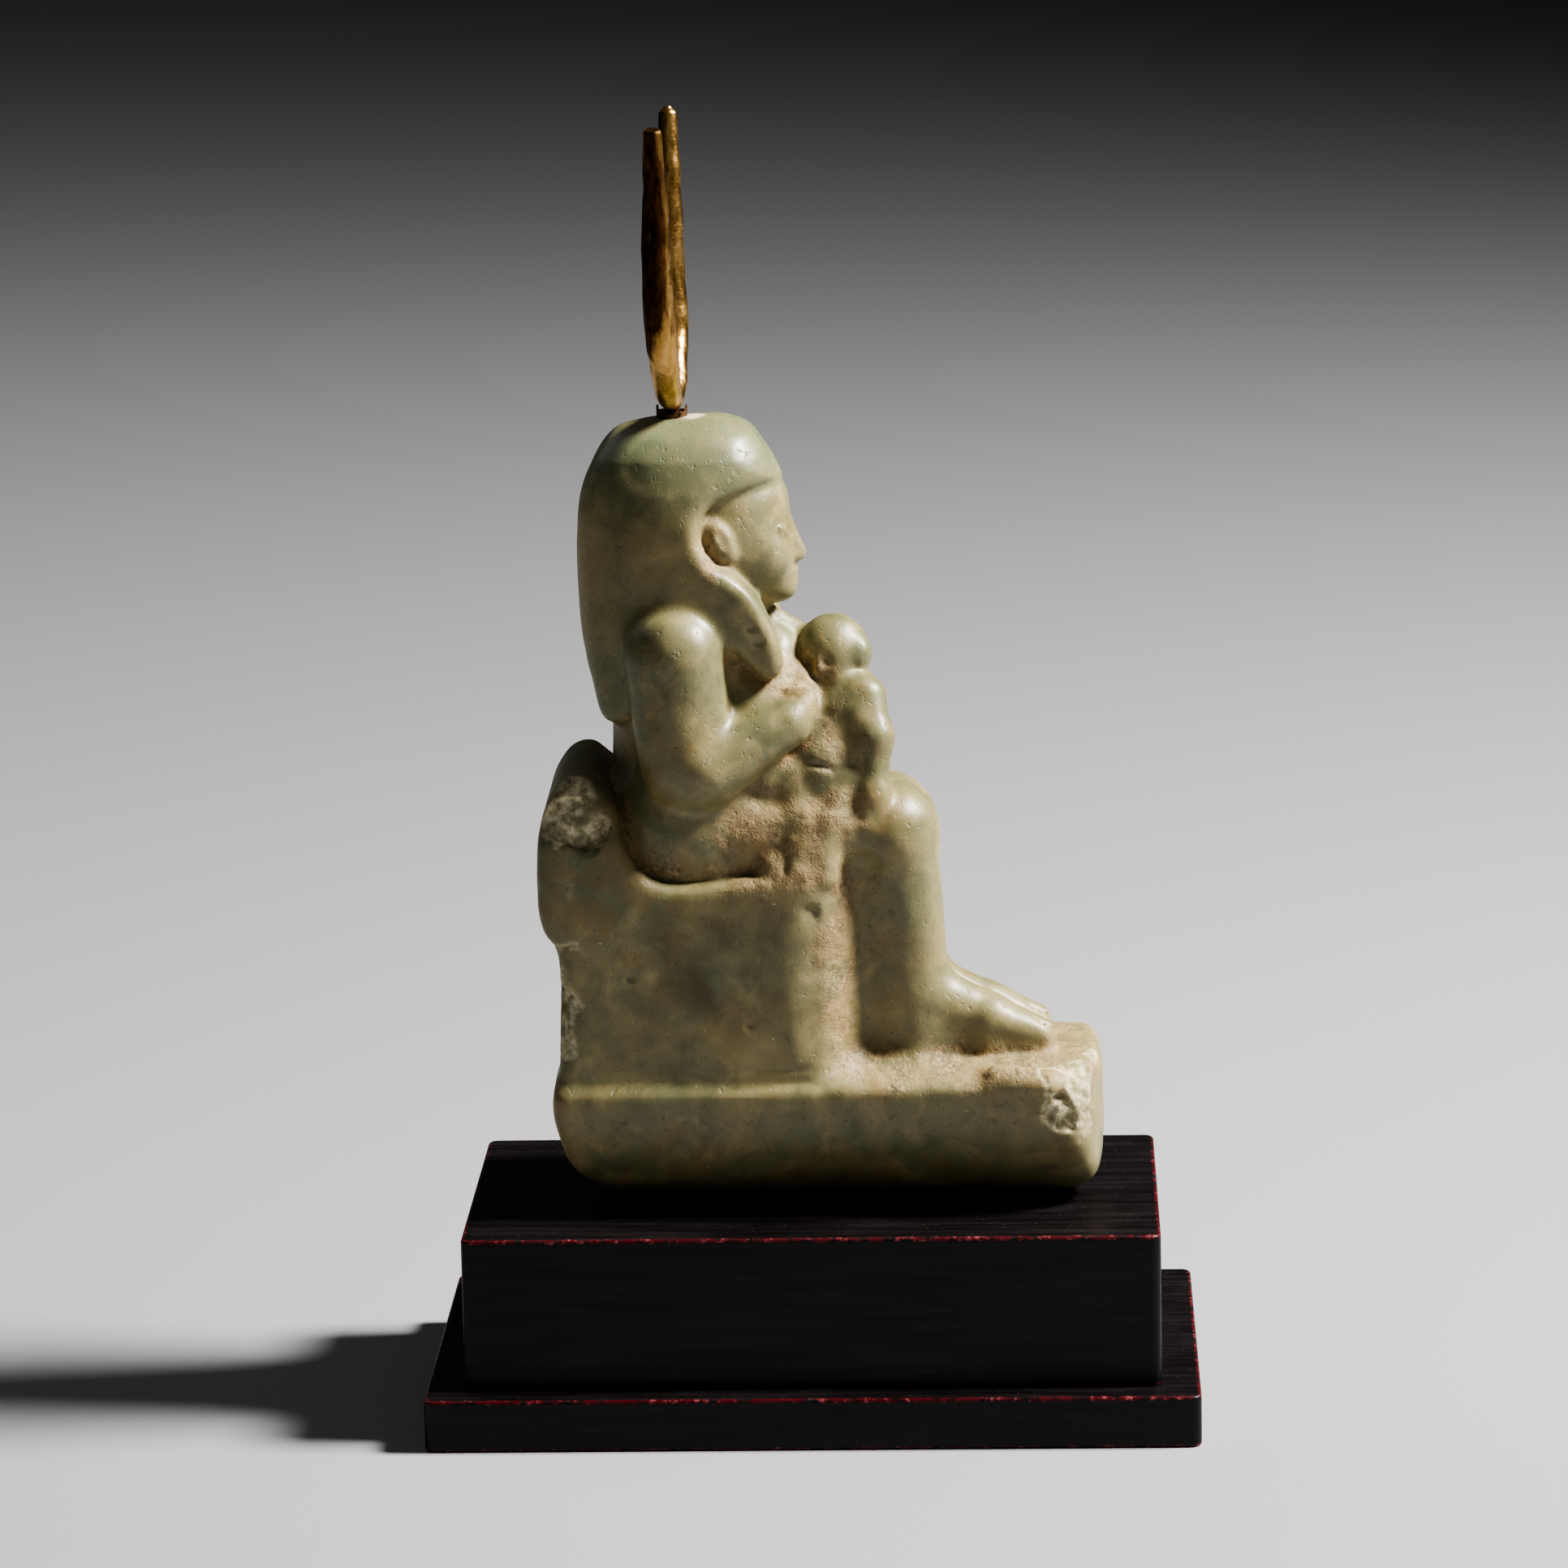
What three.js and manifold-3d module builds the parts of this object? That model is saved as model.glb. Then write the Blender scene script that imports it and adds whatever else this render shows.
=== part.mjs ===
// A seated goddess nursing her son, carved with her throne and base from one piece of green
// stone. Gilt cow horns stand in a small socket on her head, and the carving rests on a
// two-stepped stand of lacquered wood. Millimetres, +Z up. The figure looks along -Y, her left
// is +X, and the origin is the centre of the stand's underside.
import * as THREE from "three";
import { mergeVertices } from "three/addons/utils/BufferGeometryUtils.js";
import Module from "manifold-3d";

const wasm = await Module();
wasm.setup();

// Driving sizes of the carving. Its forms are drawn 124 mm tall and scaled to this height.
const FIGURE_HEIGHT = 124;
const SCALE = FIGURE_HEIGHT / 124;
const FIGURE_TRIANGLES = 8000;
const GRID_BODY = 1;
const GRID_HEAD = 0.7;

// Driving sizes of the stand: a block on a wider board.
const BLOCK_LENGTH = 108;
const BLOCK_WIDTH = 58;
const BLOCK_HEIGHT = 24.25;
const BOARD_REVEAL_ENDS = 6;
const BOARD_REVEAL_SIDES = 5;
const BOARD_HEIGHT = 8.25;
const CORNER_RADIUS = 1.6;
const EDGE_BREAK = 0.5;

// Driving sizes of the crown: the horns, and the slotted socket that they stand in.
const SOCKET_RADIUS = 2.4;
const SOCKET_HEIGHT = 2.4;
const SOCKET_SUNK = 0.9;
const SLOT_DEPTH = 0.8;
const HORN_RISE = 44.8;
const HORN_TIP_SPREAD = 30.5;
const HORN_ROOT_WIDTH = 3.6;
const HORN_WAIST_WIDTH = 4.8;
const HORN_TIP_WIDTH = 2.7;
const HORN_FLAT = 0.84;
const HORN_LEAN = 0.8;
const HORN_TURN = -1.3;

// The gap left all round between pieces that fit into each other.
const FIT = 0.3;

// Distance functions. A point is (a, l, u): ahead of the figure, to its left, and up from the
// flat underside of its base, in millimetres of the drawing.
const clamp = (x, low, high) => Math.min(Math.max(x, low), high);
const mix = (a, b, t) => a + (b - a) * t;
const root = Math.sqrt;
const ease = (low, high, x) => {
  const t = clamp((x - low) / (high - low), 0, 1);
  return t * t * (3 - 2 * t);
};

function join(a, b, k) {
  const h = Math.max(k - Math.abs(a - b), 0);
  return Math.min(a, b) - (h * h) / (4 * k);
}
const meet = (a, b, k) => -join(-a, -b, k);
const carve = (a, b, k) => -join(-a, b, k);

// An ellipsoid, pitched about the left axis: a positive pitch lifts its front.
function egg([ca, cl, cu], [ra, rl, ru], pitch = 0) {
  const c = Math.cos(pitch);
  const s = Math.sin(pitch);
  return (a, l, u) => {
    const x = (c * (a - ca) + s * (u - cu)) / ra;
    const y = (l - cl) / rl;
    const z = (c * (u - cu) - s * (a - ca)) / ru;
    const near = root(x * x + y * y + z * z);
    const far = root((x / ra) ** 2 + (y / rl) ** 2 + (z / ru) ** 2);
    return (near * (near - 1)) / Math.max(far, 1e-6);
  };
}

// A round limb from p to q whose radius runs from rp to rq. Wide stretches it sideways.
function limb(p, q, rp, rq, wide = 1) {
  const da = q[0] - p[0];
  const dl = (q[1] - p[1]) / wide;
  const du = q[2] - p[2];
  const square = da * da + dl * dl + du * du;
  return (a, l, u) => {
    const ea = a - p[0];
    const el = (l - p[1]) / wide;
    const eu = u - p[2];
    const t = clamp((ea * da + el * dl + eu * du) / square, 0, 1);
    return root((ea - t * da) ** 2 + (el - t * dl) ** 2 + (eu - t * du) ** 2) - mix(rp, rq, t);
  };
}

// A body drawn as level slices. Each station is [up, back, front, half width, squareness].
function slices(stations) {
  const low = stations[0][0];
  const high = stations[stations.length - 1][0];
  return (a, l, u) => {
    const at = clamp(u, low, high);
    let i = 0;
    while (i < stations.length - 2 && at > stations[i + 1][0]) i++;
    const t = ease(stations[i][0], stations[i + 1][0], at);
    const [back, front, half, square] = [1, 2, 3, 4].map((k) =>
      mix(stations[i][k], stations[i + 1][k], t));
    const deep = (front - back) / 2;
    const x = Math.abs(a - (front + back) / 2) / deep;
    const y = Math.abs(l) / half;
    const level = (x ** square + y ** square) ** (1 / square);
    return meet((level - 1) * Math.min(deep, half), Math.max(low - u, u - high), 3);
  };
}

// The signed distance to a smooth closed outline in side view, through (a, u) corners. Each
// answer is kept, because every point across the figure asks for it again.
function outline(corners) {
  const loop = new THREE.CatmullRomCurve3(
    corners.map(([a, u]) => new THREE.Vector3(a, u, 0)),
    true,
    "centripetal",
  );
  const points = loop.getPoints(corners.length * 4).slice(0, -1);
  const known = new Map();
  const measure = (a, u) => {
    let best = Infinity;
    let inside = false;
    for (let i = 0, j = points.length - 1; i < points.length; j = i++) {
      const [p, q] = [points[i], points[j]];
      const ex = q.x - p.x;
      const ey = q.y - p.y;
      const wx = a - p.x;
      const wy = u - p.y;
      const t = clamp((wx * ex + wy * ey) / (ex * ex + ey * ey), 0, 1);
      best = Math.min(best, (wx - t * ex) ** 2 + (wy - t * ey) ** 2);
      if (p.y > u !== q.y > u && a < (ex * (u - p.y)) / ey + p.x) inside = !inside;
    }
    return (inside ? -1 : 1) * root(best);
  };
  return (a, u) => {
    if (!known.has(a)) known.set(a, new Map());
    const column = known.get(a);
    if (!column.has(u)) column.set(u, measure(a, u));
    return column.get(u);
  };
}

// A value read from a table of [at, value] rows, in straight steps.
function lookUp(at, table) {
  let i = 1;
  while (i < table.length - 1 && table[i][0] < at) i++;
  const [[low, from], [high, to]] = [table[i - 1], table[i]];
  return mix(from, to, clamp((at - low) / (high - low), 0, 1));
}

// The base under throne and feet: blunt ends, a crowned top, and a rounded underside.
const hullRise = 18;
const baseEnd = 46.2;
const baseHalf = 18.4;
const baseOutline = outline([
  [-29, -1], [0, -1.4], [34, -1], [41, 0.8], [44.8, 4], [baseEnd, 9], [46.4, 15],
  [46, 20.5], [44.6, 23.4], [41.5, 24.2], [20, 24], [-10, 23.8], [-34, 24], [-38.6, 23],
  [-39.6, 20.6], [-40, 18], [-39.4, 13.5], [-37.6, 7.6], [-34, 3],
]);
function base(a, l, u) {
  const half = mix(baseHalf, 0.94 * baseHalf, ease(-20, 44, a));
  const drop = Math.max(hullRise - u, 0) / (hullRise + 0.3);
  const hull = (root((l / half) ** 2 + drop ** 2) - 1) * 15;
  const nose = a > 10 ? root((a - 10.4) ** 2 + l * l) - (baseEnd - 10.2) : -9;
  const top = u - 24.1 + 3.4 * ease(9, 19, Math.abs(l));
  return meet(meet(meet(baseOutline(a, u), hull, 2.4), nose, 3), top, 1.6);
}

// The throne: a plain block with a low thick back that steps out behind.
const throneBack = -41.6;
const throneOutline = outline([
  [-38.6, 19], [-38.8, 25], [-38.6, 36], [-38.8, 42.6], [-40.6, 45.4], [-41.4, 48.4],
  [throneBack, 55], [-41.2, 61], [-40, 65.4], [-38, 68.6], [-36, 69.8], [-34, 69.9],
  [-32, 68.4], [-29.6, 65.6], [-28.4, 61], [-26.8, 57], [-24.2, 54], [-20, 52.8],
  [-12, 53.4], [-4, 54.4], [0, 54.2], [1.9, 52.6], [2.3, 49], [2.1, 45], [2.1, 40],
  [2.3, 33], [3.4, 25.5], [4.8, 22], [5, 19],
]);
function throne(a, l, u) {
  const half = 16.8 - 1.4 * ease(56, 70, u);
  const corner = mix(2.6, 6.5, ease(-12, -2, a) * ease(54, 46, u));
  return meet(throneOutline(a, u), Math.abs(l) - half, corner);
}

// Torso and hips above the seat.
const trunk = slices([
  [50, -30, 2, 13, 2.6],
  [58, -30.4, 1, 13.4, 2.5],
  [66, -30.4, -3, 12.6, 2.4],
  [74, -30.2, -5, 11.4, 2.3],
  [82, -29.8, -4, 12.4, 2.3],
  [90, -28.4, -7.6, 13, 2.3],
  [95.5, -25, -11, 10, 2.2],
]);
const hip = egg([-18.4, 8.4, 60.6], [11.4, 6.9, 11]);
const sideChest = egg([-7.4, 7.2, 77.4], [6.4, 5.6, 6.2]);
const breast = egg([-5.4, 4.6, 82.6], [4.4, 4.6, 4.6]);
const chest = egg([-4.6, 0.4, 86], [4.2, 6, 5]);
const neck = limb([-13, 0, 88], [-11.6, 0, 99], 6.8, 6.2);
function torso(a, l, u) {
  const side = Math.abs(l);
  let front = join(breast(a, side, u), chest(a, l, u), 2);
  front = join(front, sideChest(a, side, u), 3);
  const body = join(trunk(a, l, u), hip(a, side, u), 3);
  return join(join(body, front, 3), neck(a, l, u), 4);
}

// Thighs, shins and feet of both legs, side by side under a tight dress.
const thigh = limb([-14, 6.4, 58.6], [11.6, 5.6, 58.4], 7.6, 7.1);
const lap = limb([-9, 8, 60.6], [4, 8, 60], 5.6, 5.6);
const shin = limb([12.6, 5.4, 58.4], [15.4, 4.8, 31], 7.1, 6.3, 0.94);
const between = limb([12.6, -4.6, 58.6], [12.6, 4.6, 58], 7.2, 7.1);
const shinGroove = limb([22.2, 0, 50], [22.8, 0, 33], 0.5, 1);
const instep = limb([17.2, 5, 31.4], [27.6, 5.6, 27.8], 5.9, 4.4, 0.94);
const foot = limb([27.6, 5.6, 27.8], [36, 6.2, 25.4], 4.4, 2.7, 1.1);
const heel = egg([15.4, 5.6, 26.4], [4.4, 4.6, 4.6]);
const footRidge = [[17.2, 30.2], [27.6, 26.8], [35.2, 25]];
function legs(a0, l, u0) {
  const side = Math.abs(l);
  const [a, u] = [a0 + 0.05 * l, u0 + 0.06 * l];
  const wedge = side - mix(15, 9.4, ease(1, 9.4, a));
  const web = meet(Math.abs(a - 5) - 9, meet(wedge, Math.abs(u - 38) - 20, 3), 3);
  let skirt = join(join(thigh(a, side, u), shin(a, side, u), 3), between(a, l, u), 2);
  skirt = join(skirt, lap(a, side, u), 2);
  skirt = join(carve(skirt, shinGroove(a, l, u), 1.6), web, 3);
  const flat = Math.max(u, lookUp(a, footRidge));
  const step = join(instep(a, side, flat), foot(a, side, flat), 1);
  const feet = meet(join(step, heel(a, side, u), 3), a + 0.34 * side - 40.2, 1.6);
  return join(skirt, Math.max(feet, 20 - u), 2.4);
}

// The deep hollow between the throne's front corner and the calf, on each side.
const legHollow = limb([8.8, 13.2, 54.4], [8.8, 14.8, 46.6], 2.6, 1.6);

// Arms: the right hand is raised to the breast, the left forearm is under the child.
const upperArm = limb([-19.8, 12.4, 88.2], [-18.2, 12.6, 71.6], 7.7, 7.2, 0.92);
const rightForearm = limb([-14.8, -13.2, 70.8], [-2.6, -11.6, 77.4], 6.2, 3.6);
const rightHand = egg([-0.6, -9.9, 79.6], [3.1, 2.6, 2.3], 0.9);
const leftForearm = limb([-14.8, 13.2, 70.8], [2.6, 9.8, 75], 6, 4.2);
const leftHand = egg([5.6, 6.8, 77.6], [4.6, 3.4, 3.6], 0.4);
const fingers = [0, 1, 2, 3].map((i) =>
  limb([-1.8 + 0.7 * i, -9.4, 81.8 - 0.9 * i], [0.4 + 0.5 * i, -7, 82.5 - 1.1 * i], 0.8, 0.7));
function arms(a, l, u) {
  let right = join(rightForearm(a, l, u), rightHand(a, l, u), 2);
  for (const finger of fingers) right = join(right, finger(a, l, u), 0.9);
  const left = join(leftForearm(a, l, u), leftHand(a, l, u), 2);
  return join(upperArm(a, Math.abs(l), u), join(right, left, 1), 2.4);
}

// The long plain wig, cut back round the face, with a lappet before each shoulder.
const drawnTop = 123.8;
const wigOutline = outline([
  [-12, drawnTop], [-8.6, 122.4], [-5.6, 119], [-3.6, 115.8], [-3, 114], [-6.4, 113.4],
  [-11, 112.2], [-14.6, 110], [-15.6, 106], [-13.8, 102.6], [-10.6, 100.6], [-7.8, 98.2],
  [-5.4, 94], [-3.8, 90], [-3.2, 86.6], [-4.2, 84.6], [-6, 84.4], [-8.6, 86.6],
  [-11.4, 89.6], [-14.6, 92.4], [-18, 93.4], [-22, 89], [-26, 81], [-28.4, 77.2],
  [-31, 77.8], [-32.6, 82], [-34.2, 90], [-34.9, 99.6], [-34.8, 107.4], [-33.8, 113.6],
  [-31.6, 118.4], [-28.8, 121.6], [-24, 123.1], [-18, 123.6],
]);
const wigWidths = [
  [76, 12], [84, 13], [92, 13.8], [100, 14.2], [108, 13.9], [113, 13], [118, 11.2],
  [121.5, 8.8], [124.4, 5],
];
const throat = limb([-2.6, 0, 99], [-4.6, 0, 80], 5, 5.2, 1.25);
function wig(a, l, u) {
  const front = ((Math.max(a, -17.6) + 17.6) / 14.9) ** 2.3;
  const rear = Math.abs((Math.min(a, -17.6) + 17.6) / 18.2) ** 2.2;
  const dome = clamp(1 - front, 0.03, 1) ** 0.47;
  const plan = mix(1, dome, ease(98, 106, u)) * clamp(1 - rear, 0.02, 1) ** 0.45;
  const side = Math.abs(l) - lookUp(u, wigWidths) * plan;
  const edge = mix(2.2, 5, ease(106, 118, u));
  return carve(meet(wigOutline(a, u), side, edge), throat(a, l, u), 2);
}

// The head inside the wig. The face is drawn on plain thirds between hairline and chin.
const chinTip = 94.8;
const hairline = 113.6;
const third = (hairline - chinTip) / 3;
const noseBase = chinTip + third;
const browLine = chinTip + 2 * third;
const eyeLine = browLine - 0.2 * third;
const mouthLine = chinTip + 0.62 * third;
const skull = egg([-12.4, 0, 106.6], [10.4, 10.2, 10]);
const forehead = egg([-12, 0, 111], [9.5, 8.9, 6]);
const jaw = egg([-9.8, 0, 100.4], [8.2, 7.8, 6.6]);
const chin = egg([-3.8, 0, chinTip + 1.8], [2.6, 2.9, 2]);
const cheek = egg([-5.6, 4.4, noseBase + 1.4], [3.2, 3, 3.2]);
const socket = egg([-0.8, 3.9, eyeLine], [2, 2.6, 1.2]);
const eyeball = egg([-3.7, 3.8, eyeLine], [1.6, 2.1, 1]);
const nose = limb([-2.7, 0, browLine - 0.4], [-0.9, 0, noseBase + 1], 1, 1.35);
const nostril = egg([-1.7, 1.15, noseBase + 0.6], [1.3, 0.8, 0.8]);
const upperLip = egg([-2.6, 0, mouthLine + 0.65], [1.8, 3, 0.8]);
const lowerLip = egg([-2.7, 0, mouthLine - 0.75], [1.7, 2.5, 0.85]);
const ear = egg([-12.4, 10, 105.6], [1.9, 1.6, 3.7], 0.5);
const earBowl = egg([-11.8, 11.9, 106], [0.8, 0.8, 1.9], 0.5);
function face(a, l, u) {
  const side = Math.abs(l);
  let d = join(join(skull(a, l, u), jaw(a, l, u), 4), chin(a, l, u), 3);
  d = join(d, forehead(a, l, u), 2);
  d = join(d, cheek(a, side, u), 2.5);
  d = carve(d, socket(a, side, u), 1.2);
  d = join(d, eyeball(a, side, u), 0.4);
  d = join(d, nose(a, l, u), 1);
  d = join(d, nostril(a, side, u), 0.5);
  d = join(d, join(upperLip(a, l, u), lowerLip(a, l, u), 0.3), 0.7);
  return join(d, carve(ear(a, side, u), earBowl(a, side, u), 0.8), 1.2);
}

// The child sits across the lap and faces its near side, with his shins over the near thigh.
const childParts = [
  [egg([2.6, -2.4, 70.6], [10.2, 8, 12.6]), 1],
  [limb([6.8, -3.4, 79.6], [4.6, -4.4, 67], 5, 6), 1.5],
  [egg([-1.4, -3.4, 81], [3.8, 4.4, 5]), 1.5],
  [limb([0.4, 4.2, 67], [0.6, 3.6, 79.6], 5.4, 4.6), 2],
  [limb([-6, 1.6, 92.4], [-0.6, 1.2, 88.6], 1.5, 2), 1.5],
  [egg([4.3, -0.4, 86.6], [5.6, 5.8, 5.7]), 0.8],
  [egg([8.6, -2.8, 86.5], [1.7, 2.2, 2.4]), 1.5],
  [egg([6.4, -5.4, 79], [4.4, 3.6, 2.8]), 1],
  [egg([3, -5.4, 72.2], [6.4, 5.4, 4]), 1],
  [limb([9.6, -5.6, 80.2], [10.8, -8.2, 74.4], 2.9, 2.5), 1.6],
  [limb([10.8, -8.2, 74.4], [10.2, -9.8, 65.6], 2.5, 2.5), 2],
  [limb([10.2, -9.8, 65.6], [9.4, -10.8, 61], 2.5, 2.2), 2],
  [limb([8.4, -7.4, 77], [8.2, -8.3, 67], 2.4, 2.6), 1.5],
  [limb([2, -7.6, 68.6], [0.4, -8.6, 55.6], 4.2, 4), 3],
  [egg([-6, -8.4, 67.6], [4, 4, 5]), 3],
  [limb([-5, -12.6, 55], [1.4, -12.4, 55], 3, 2.8), 3],
  [limb([6.2, -8.6, 67.6], [3, -11.6, 61], 2.9, 2.5), 1.6],
  [limb([3, -11.6, 61], [2.8, -13.8, 53.6], 2.5, 2), 1.6],
  [limb([-2.4, -8.8, 68.4], [-0.9, -11.2, 61.4], 2.9, 2.6), 1.8],
  [limb([-0.9, -11.2, 61.4], [-0.7, -13.6, 55], 2.6, 2.2), 1.6],
];
const fold = limb([-3.3, -14.4, 60.6], [-3.3, -16, 54.8], 0.3, 0.42);
const underHead = limb([1.4, -9.6, 79.6], [8, -6.6, 84], 0.7, 0.6);
function child(a, l, u) {
  const whole = childParts.reduce((d, [part, k]) => join(d, part(a, l, u), k), 99);
  return carve(whole, underHead(a, l, u), 0.7);
}

// Old breaks. A flake is a shallow bite out of an edge: inside a ball and outside a slanting plane.
function flake(place, facing, radius) {
  const n = facing.map((x) => x / Math.hypot(...facing));
  const ball = egg(place, [radius, radius, radius]);
  return (a, l, u) => Math.max(dot(n, minus(place, [a, l, u])), ball(a, l, u));
}
const flakes = [
  flake([-35.4, -15.5, 67.4], [-0.1, -0.75, 0.65], 5.2),
  flake([-36.6, -15.9, 62.6], [-0.35, -0.9, 0.25], 4.2),
  flake([-33.6, -15.9, 62], [0.25, -0.9, -0.2], 3),
  flake([41.2, -14.9, 20.6], [0.35, -0.72, 0.6], 6),
  flake([43.4, -14.6, 15.2], [0.62, -0.76, 0.12], 5.2),
  flake([38.8, -16.4, 16.6], [0.1, -0.98, -0.1], 3.4),
  flake([44.4, -6, 22.8], [0.6, -0.2, 0.76], 3.6),
  flake([38.6, 15.6, 21.4], [0.3, 0.6, 0.74], 5),
  flake([0.4, -15.8, 48.2], [0.55, -0.8, 0.1], 1.4),
  flake([-38, 14.6, 30], [-0.8, 0.6, 0.05], 5),
  flake([-37.2, -15.6, 31], [-0.7, -0.7, 0.1], 5.6),
  flake([-37.6, -15.8, 39], [-0.6, -0.8, -0.05], 5),
];
const nub = limb([29, -15.2, 21.6], [36.8, -15.9, 20.6], 1.6, 2.1);

function carving(a, l, u) {
  let d = join(throne(a, l, u), torso(a, l, u), 0.6);
  d = join(d, legs(a, l, u), mix(1, 2.4, ease(-14, -6, a)));
  d = carve(d, legHollow(a, Math.abs(l), u), 2);
  d = join(d, base(a, l, u), mix(1, 4, ease(0, 7, a) * ease(26, 14, a)));
  d = join(d, arms(a, l, u), 1.6);
  d = join(d, child(a, l, u), 1.2);
  d = carve(d, fold(a, l, u), 0.4);
  d = join(d, face(a, l, u), 1);
  d = join(d, wig(a, l, u), mix(0.8, 2, ease(-8, -11, a) * ease(111, 108, u)));
  for (const bite of flakes) d = carve(d, bite(a, l, u), 0.5);
  return Math.max(join(d, nub(a, l, u), 2.6), -u);
}

// Evenly spaced grid lines from low to high, with a finer spacing above a given place.
function gridLines(low, high, step, fineFrom = Infinity, fine = step) {
  const lines = [];
  for (let at = low; at < high; at += at < fineFrom ? step : fine) lines.push(at);
  return [...lines, high];
}

const blockCells = 4;
const farAway = 6;

// A cell is plain if its inside corners hang together along its edges, and its outside ones do.
function hangsTogether(mask) {
  if (mask === 0) return true;
  const reached = new Set([Math.log2(mask & -mask)]);
  for (const c of reached)
    for (const bit of [1, 2, 4]) if (mask & (1 << (c ^ bit))) reached.add(c ^ bit);
  return reached.size === [...mask.toString(2)].filter((digit) => digit === "1").length;
}
const plain = Array.from({ length: 256 }, (_, m) => hangsTogether(m) && hangsTogether(255 - m));

// Fills pinched gaps corner by corner until every cell is plain, so the skin is a true solid.
function fillPinches(values, [na, nl, nu], at, corners) {
  let changed = true;
  while (changed) {
    changed = false;
    for (let i = 0; i < na - 1; i++)
      for (let k = 0; k < nu - 1; k++)
        for (let j = 0; j < nl - 1; j++) {
          const where = corners.map(([x, y, z]) => at(i + x, j + y, k + z));
          const mask = where.reduce((m, w, c) => (values[w] < 0 ? m | (1 << c) : m), 0);
          if (plain[mask]) continue;
          const open = where.filter((w) => values[w] >= 0);
          const least = open.reduce((p, q) => (values[p] <= values[q] ? p : q));
          values[least] = -0.02;
          changed = true;
        }
  }
}

// Surface nets: one vertex in each grid cell that the surface passes through.
function polygonise(field, [as, ls, us]) {
  const [na, nl, nu] = [as.length, ls.length, us.length];
  const at = (i, j, k) => (i * nu + k) * nl + j;
  const values = new Float32Array(na * nl * nu);
  // Blocks far from the surface take one value. Near it every grid point is worked out.
  for (let i0 = 0; i0 < na; i0 += blockCells)
    for (let k0 = 0; k0 < nu; k0 += blockCells)
      for (let j0 = 0; j0 < nl; j0 += blockCells) {
        const [i1, j1, k1] = [[i0, na], [j0, nl], [k0, nu]].map(([s, n]) =>
          Math.min(s + blockCells, n) - 1);
        const middle = [as[i0] + as[i1], ls[j0] + ls[j1], us[k0] + us[k1]].map((x) => x / 2);
        const rough = field(...middle);
        const far = Math.abs(rough) > farAway;
        for (let i = i0; i <= i1; i++)
          for (let k = k0; k <= k1; k++)
            for (let j = j0; j <= j1; j++)
              values[at(i, j, k)] = far ? rough : field(as[i], ls[j], us[k]);
      }
  const corners = [0, 1, 2, 3, 4, 5, 6, 7].map((c) => [c & 1, (c >> 1) & 1, c >> 2]);
  fillPinches(values, [na, nl, nu], at, corners);
  const edges = [];
  for (let p = 0; p < 8; p++)
    for (const bit of [1, 2, 4]) if (!(p & bit)) edges.push([p, p | bit]);
  const cell = new Int32Array(na * nl * nu).fill(-1);
  const points = [];
  for (let i = 0; i < na - 1; i++)
    for (let k = 0; k < nu - 1; k++)
      for (let j = 0; j < nl - 1; j++) {
        const v = corners.map(([x, y, z]) => values[at(i + x, j + y, k + z)]);
        const sum = [0, 0, 0];
        let hits = 0;
        for (const [p, q] of edges) {
          if (v[p] < 0 === v[q] < 0) continue;
          const t = v[p] / (v[p] - v[q]);
          hits++;
          for (let axis = 0; axis < 3; axis++)
            sum[axis] += mix(corners[p][axis], corners[q][axis], t);
        }
        if (!hits) continue;
        cell[at(i, j, k)] = points.length;
        const [x, y, z] = sum.map((total) => total / hits);
        points.push([
          mix(as[i], as[i + 1], x), mix(ls[j], ls[j + 1], y), mix(us[k], us[k + 1], z),
        ]);
      }
  const faces = [];
  const quad = (p, q, r, s, turn) => {
    const loop = turn ? [s, r, q, p] : [p, q, r, s];
    faces.push([loop[0], loop[1], loop[2]], [loop[0], loop[2], loop[3]]);
  };
  for (let i = 1; i < na - 1; i++)
    for (let k = 1; k < nu - 1; k++)
      for (let j = 1; j < nl - 1; j++) {
        const here = values[at(i, j, k)] < 0;
        if (here !== values[at(i + 1, j, k)] < 0)
          quad(cell[at(i, j - 1, k - 1)], cell[at(i, j, k - 1)], cell[at(i, j, k)],
            cell[at(i, j - 1, k)], !here);
        if (here !== values[at(i, j + 1, k)] < 0)
          quad(cell[at(i - 1, j, k - 1)], cell[at(i - 1, j, k)], cell[at(i, j, k)],
            cell[at(i, j, k - 1)], !here);
        if (here !== values[at(i, j, k + 1)] < 0)
          quad(cell[at(i - 1, j - 1, k)], cell[at(i, j - 1, k)], cell[at(i, j, k)],
            cell[at(i - 1, j, k)], !here);
      }
  return { points, faces };
}

// The one connected skin that holds the farthest point ahead. Skins of sealed bubbles inside
// the stone are dropped, so the stone is solid there.
function outerSkin({ points, faces }) {
  const leader = points.map((_, v) => v);
  const find = (v) => {
    while (leader[v] !== v) v = leader[v] = leader[leader[v]];
    return v;
  };
  for (const [p, q, r] of faces) {
    leader[find(p)] = find(q);
    leader[find(q)] = find(r);
  }
  const ahead = points.reduce((best, p, v) => (p[0] > points[best][0] ? v : best), 0);
  return { points, faces: faces.filter(([p]) => find(p) === find(ahead)) };
}

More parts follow.
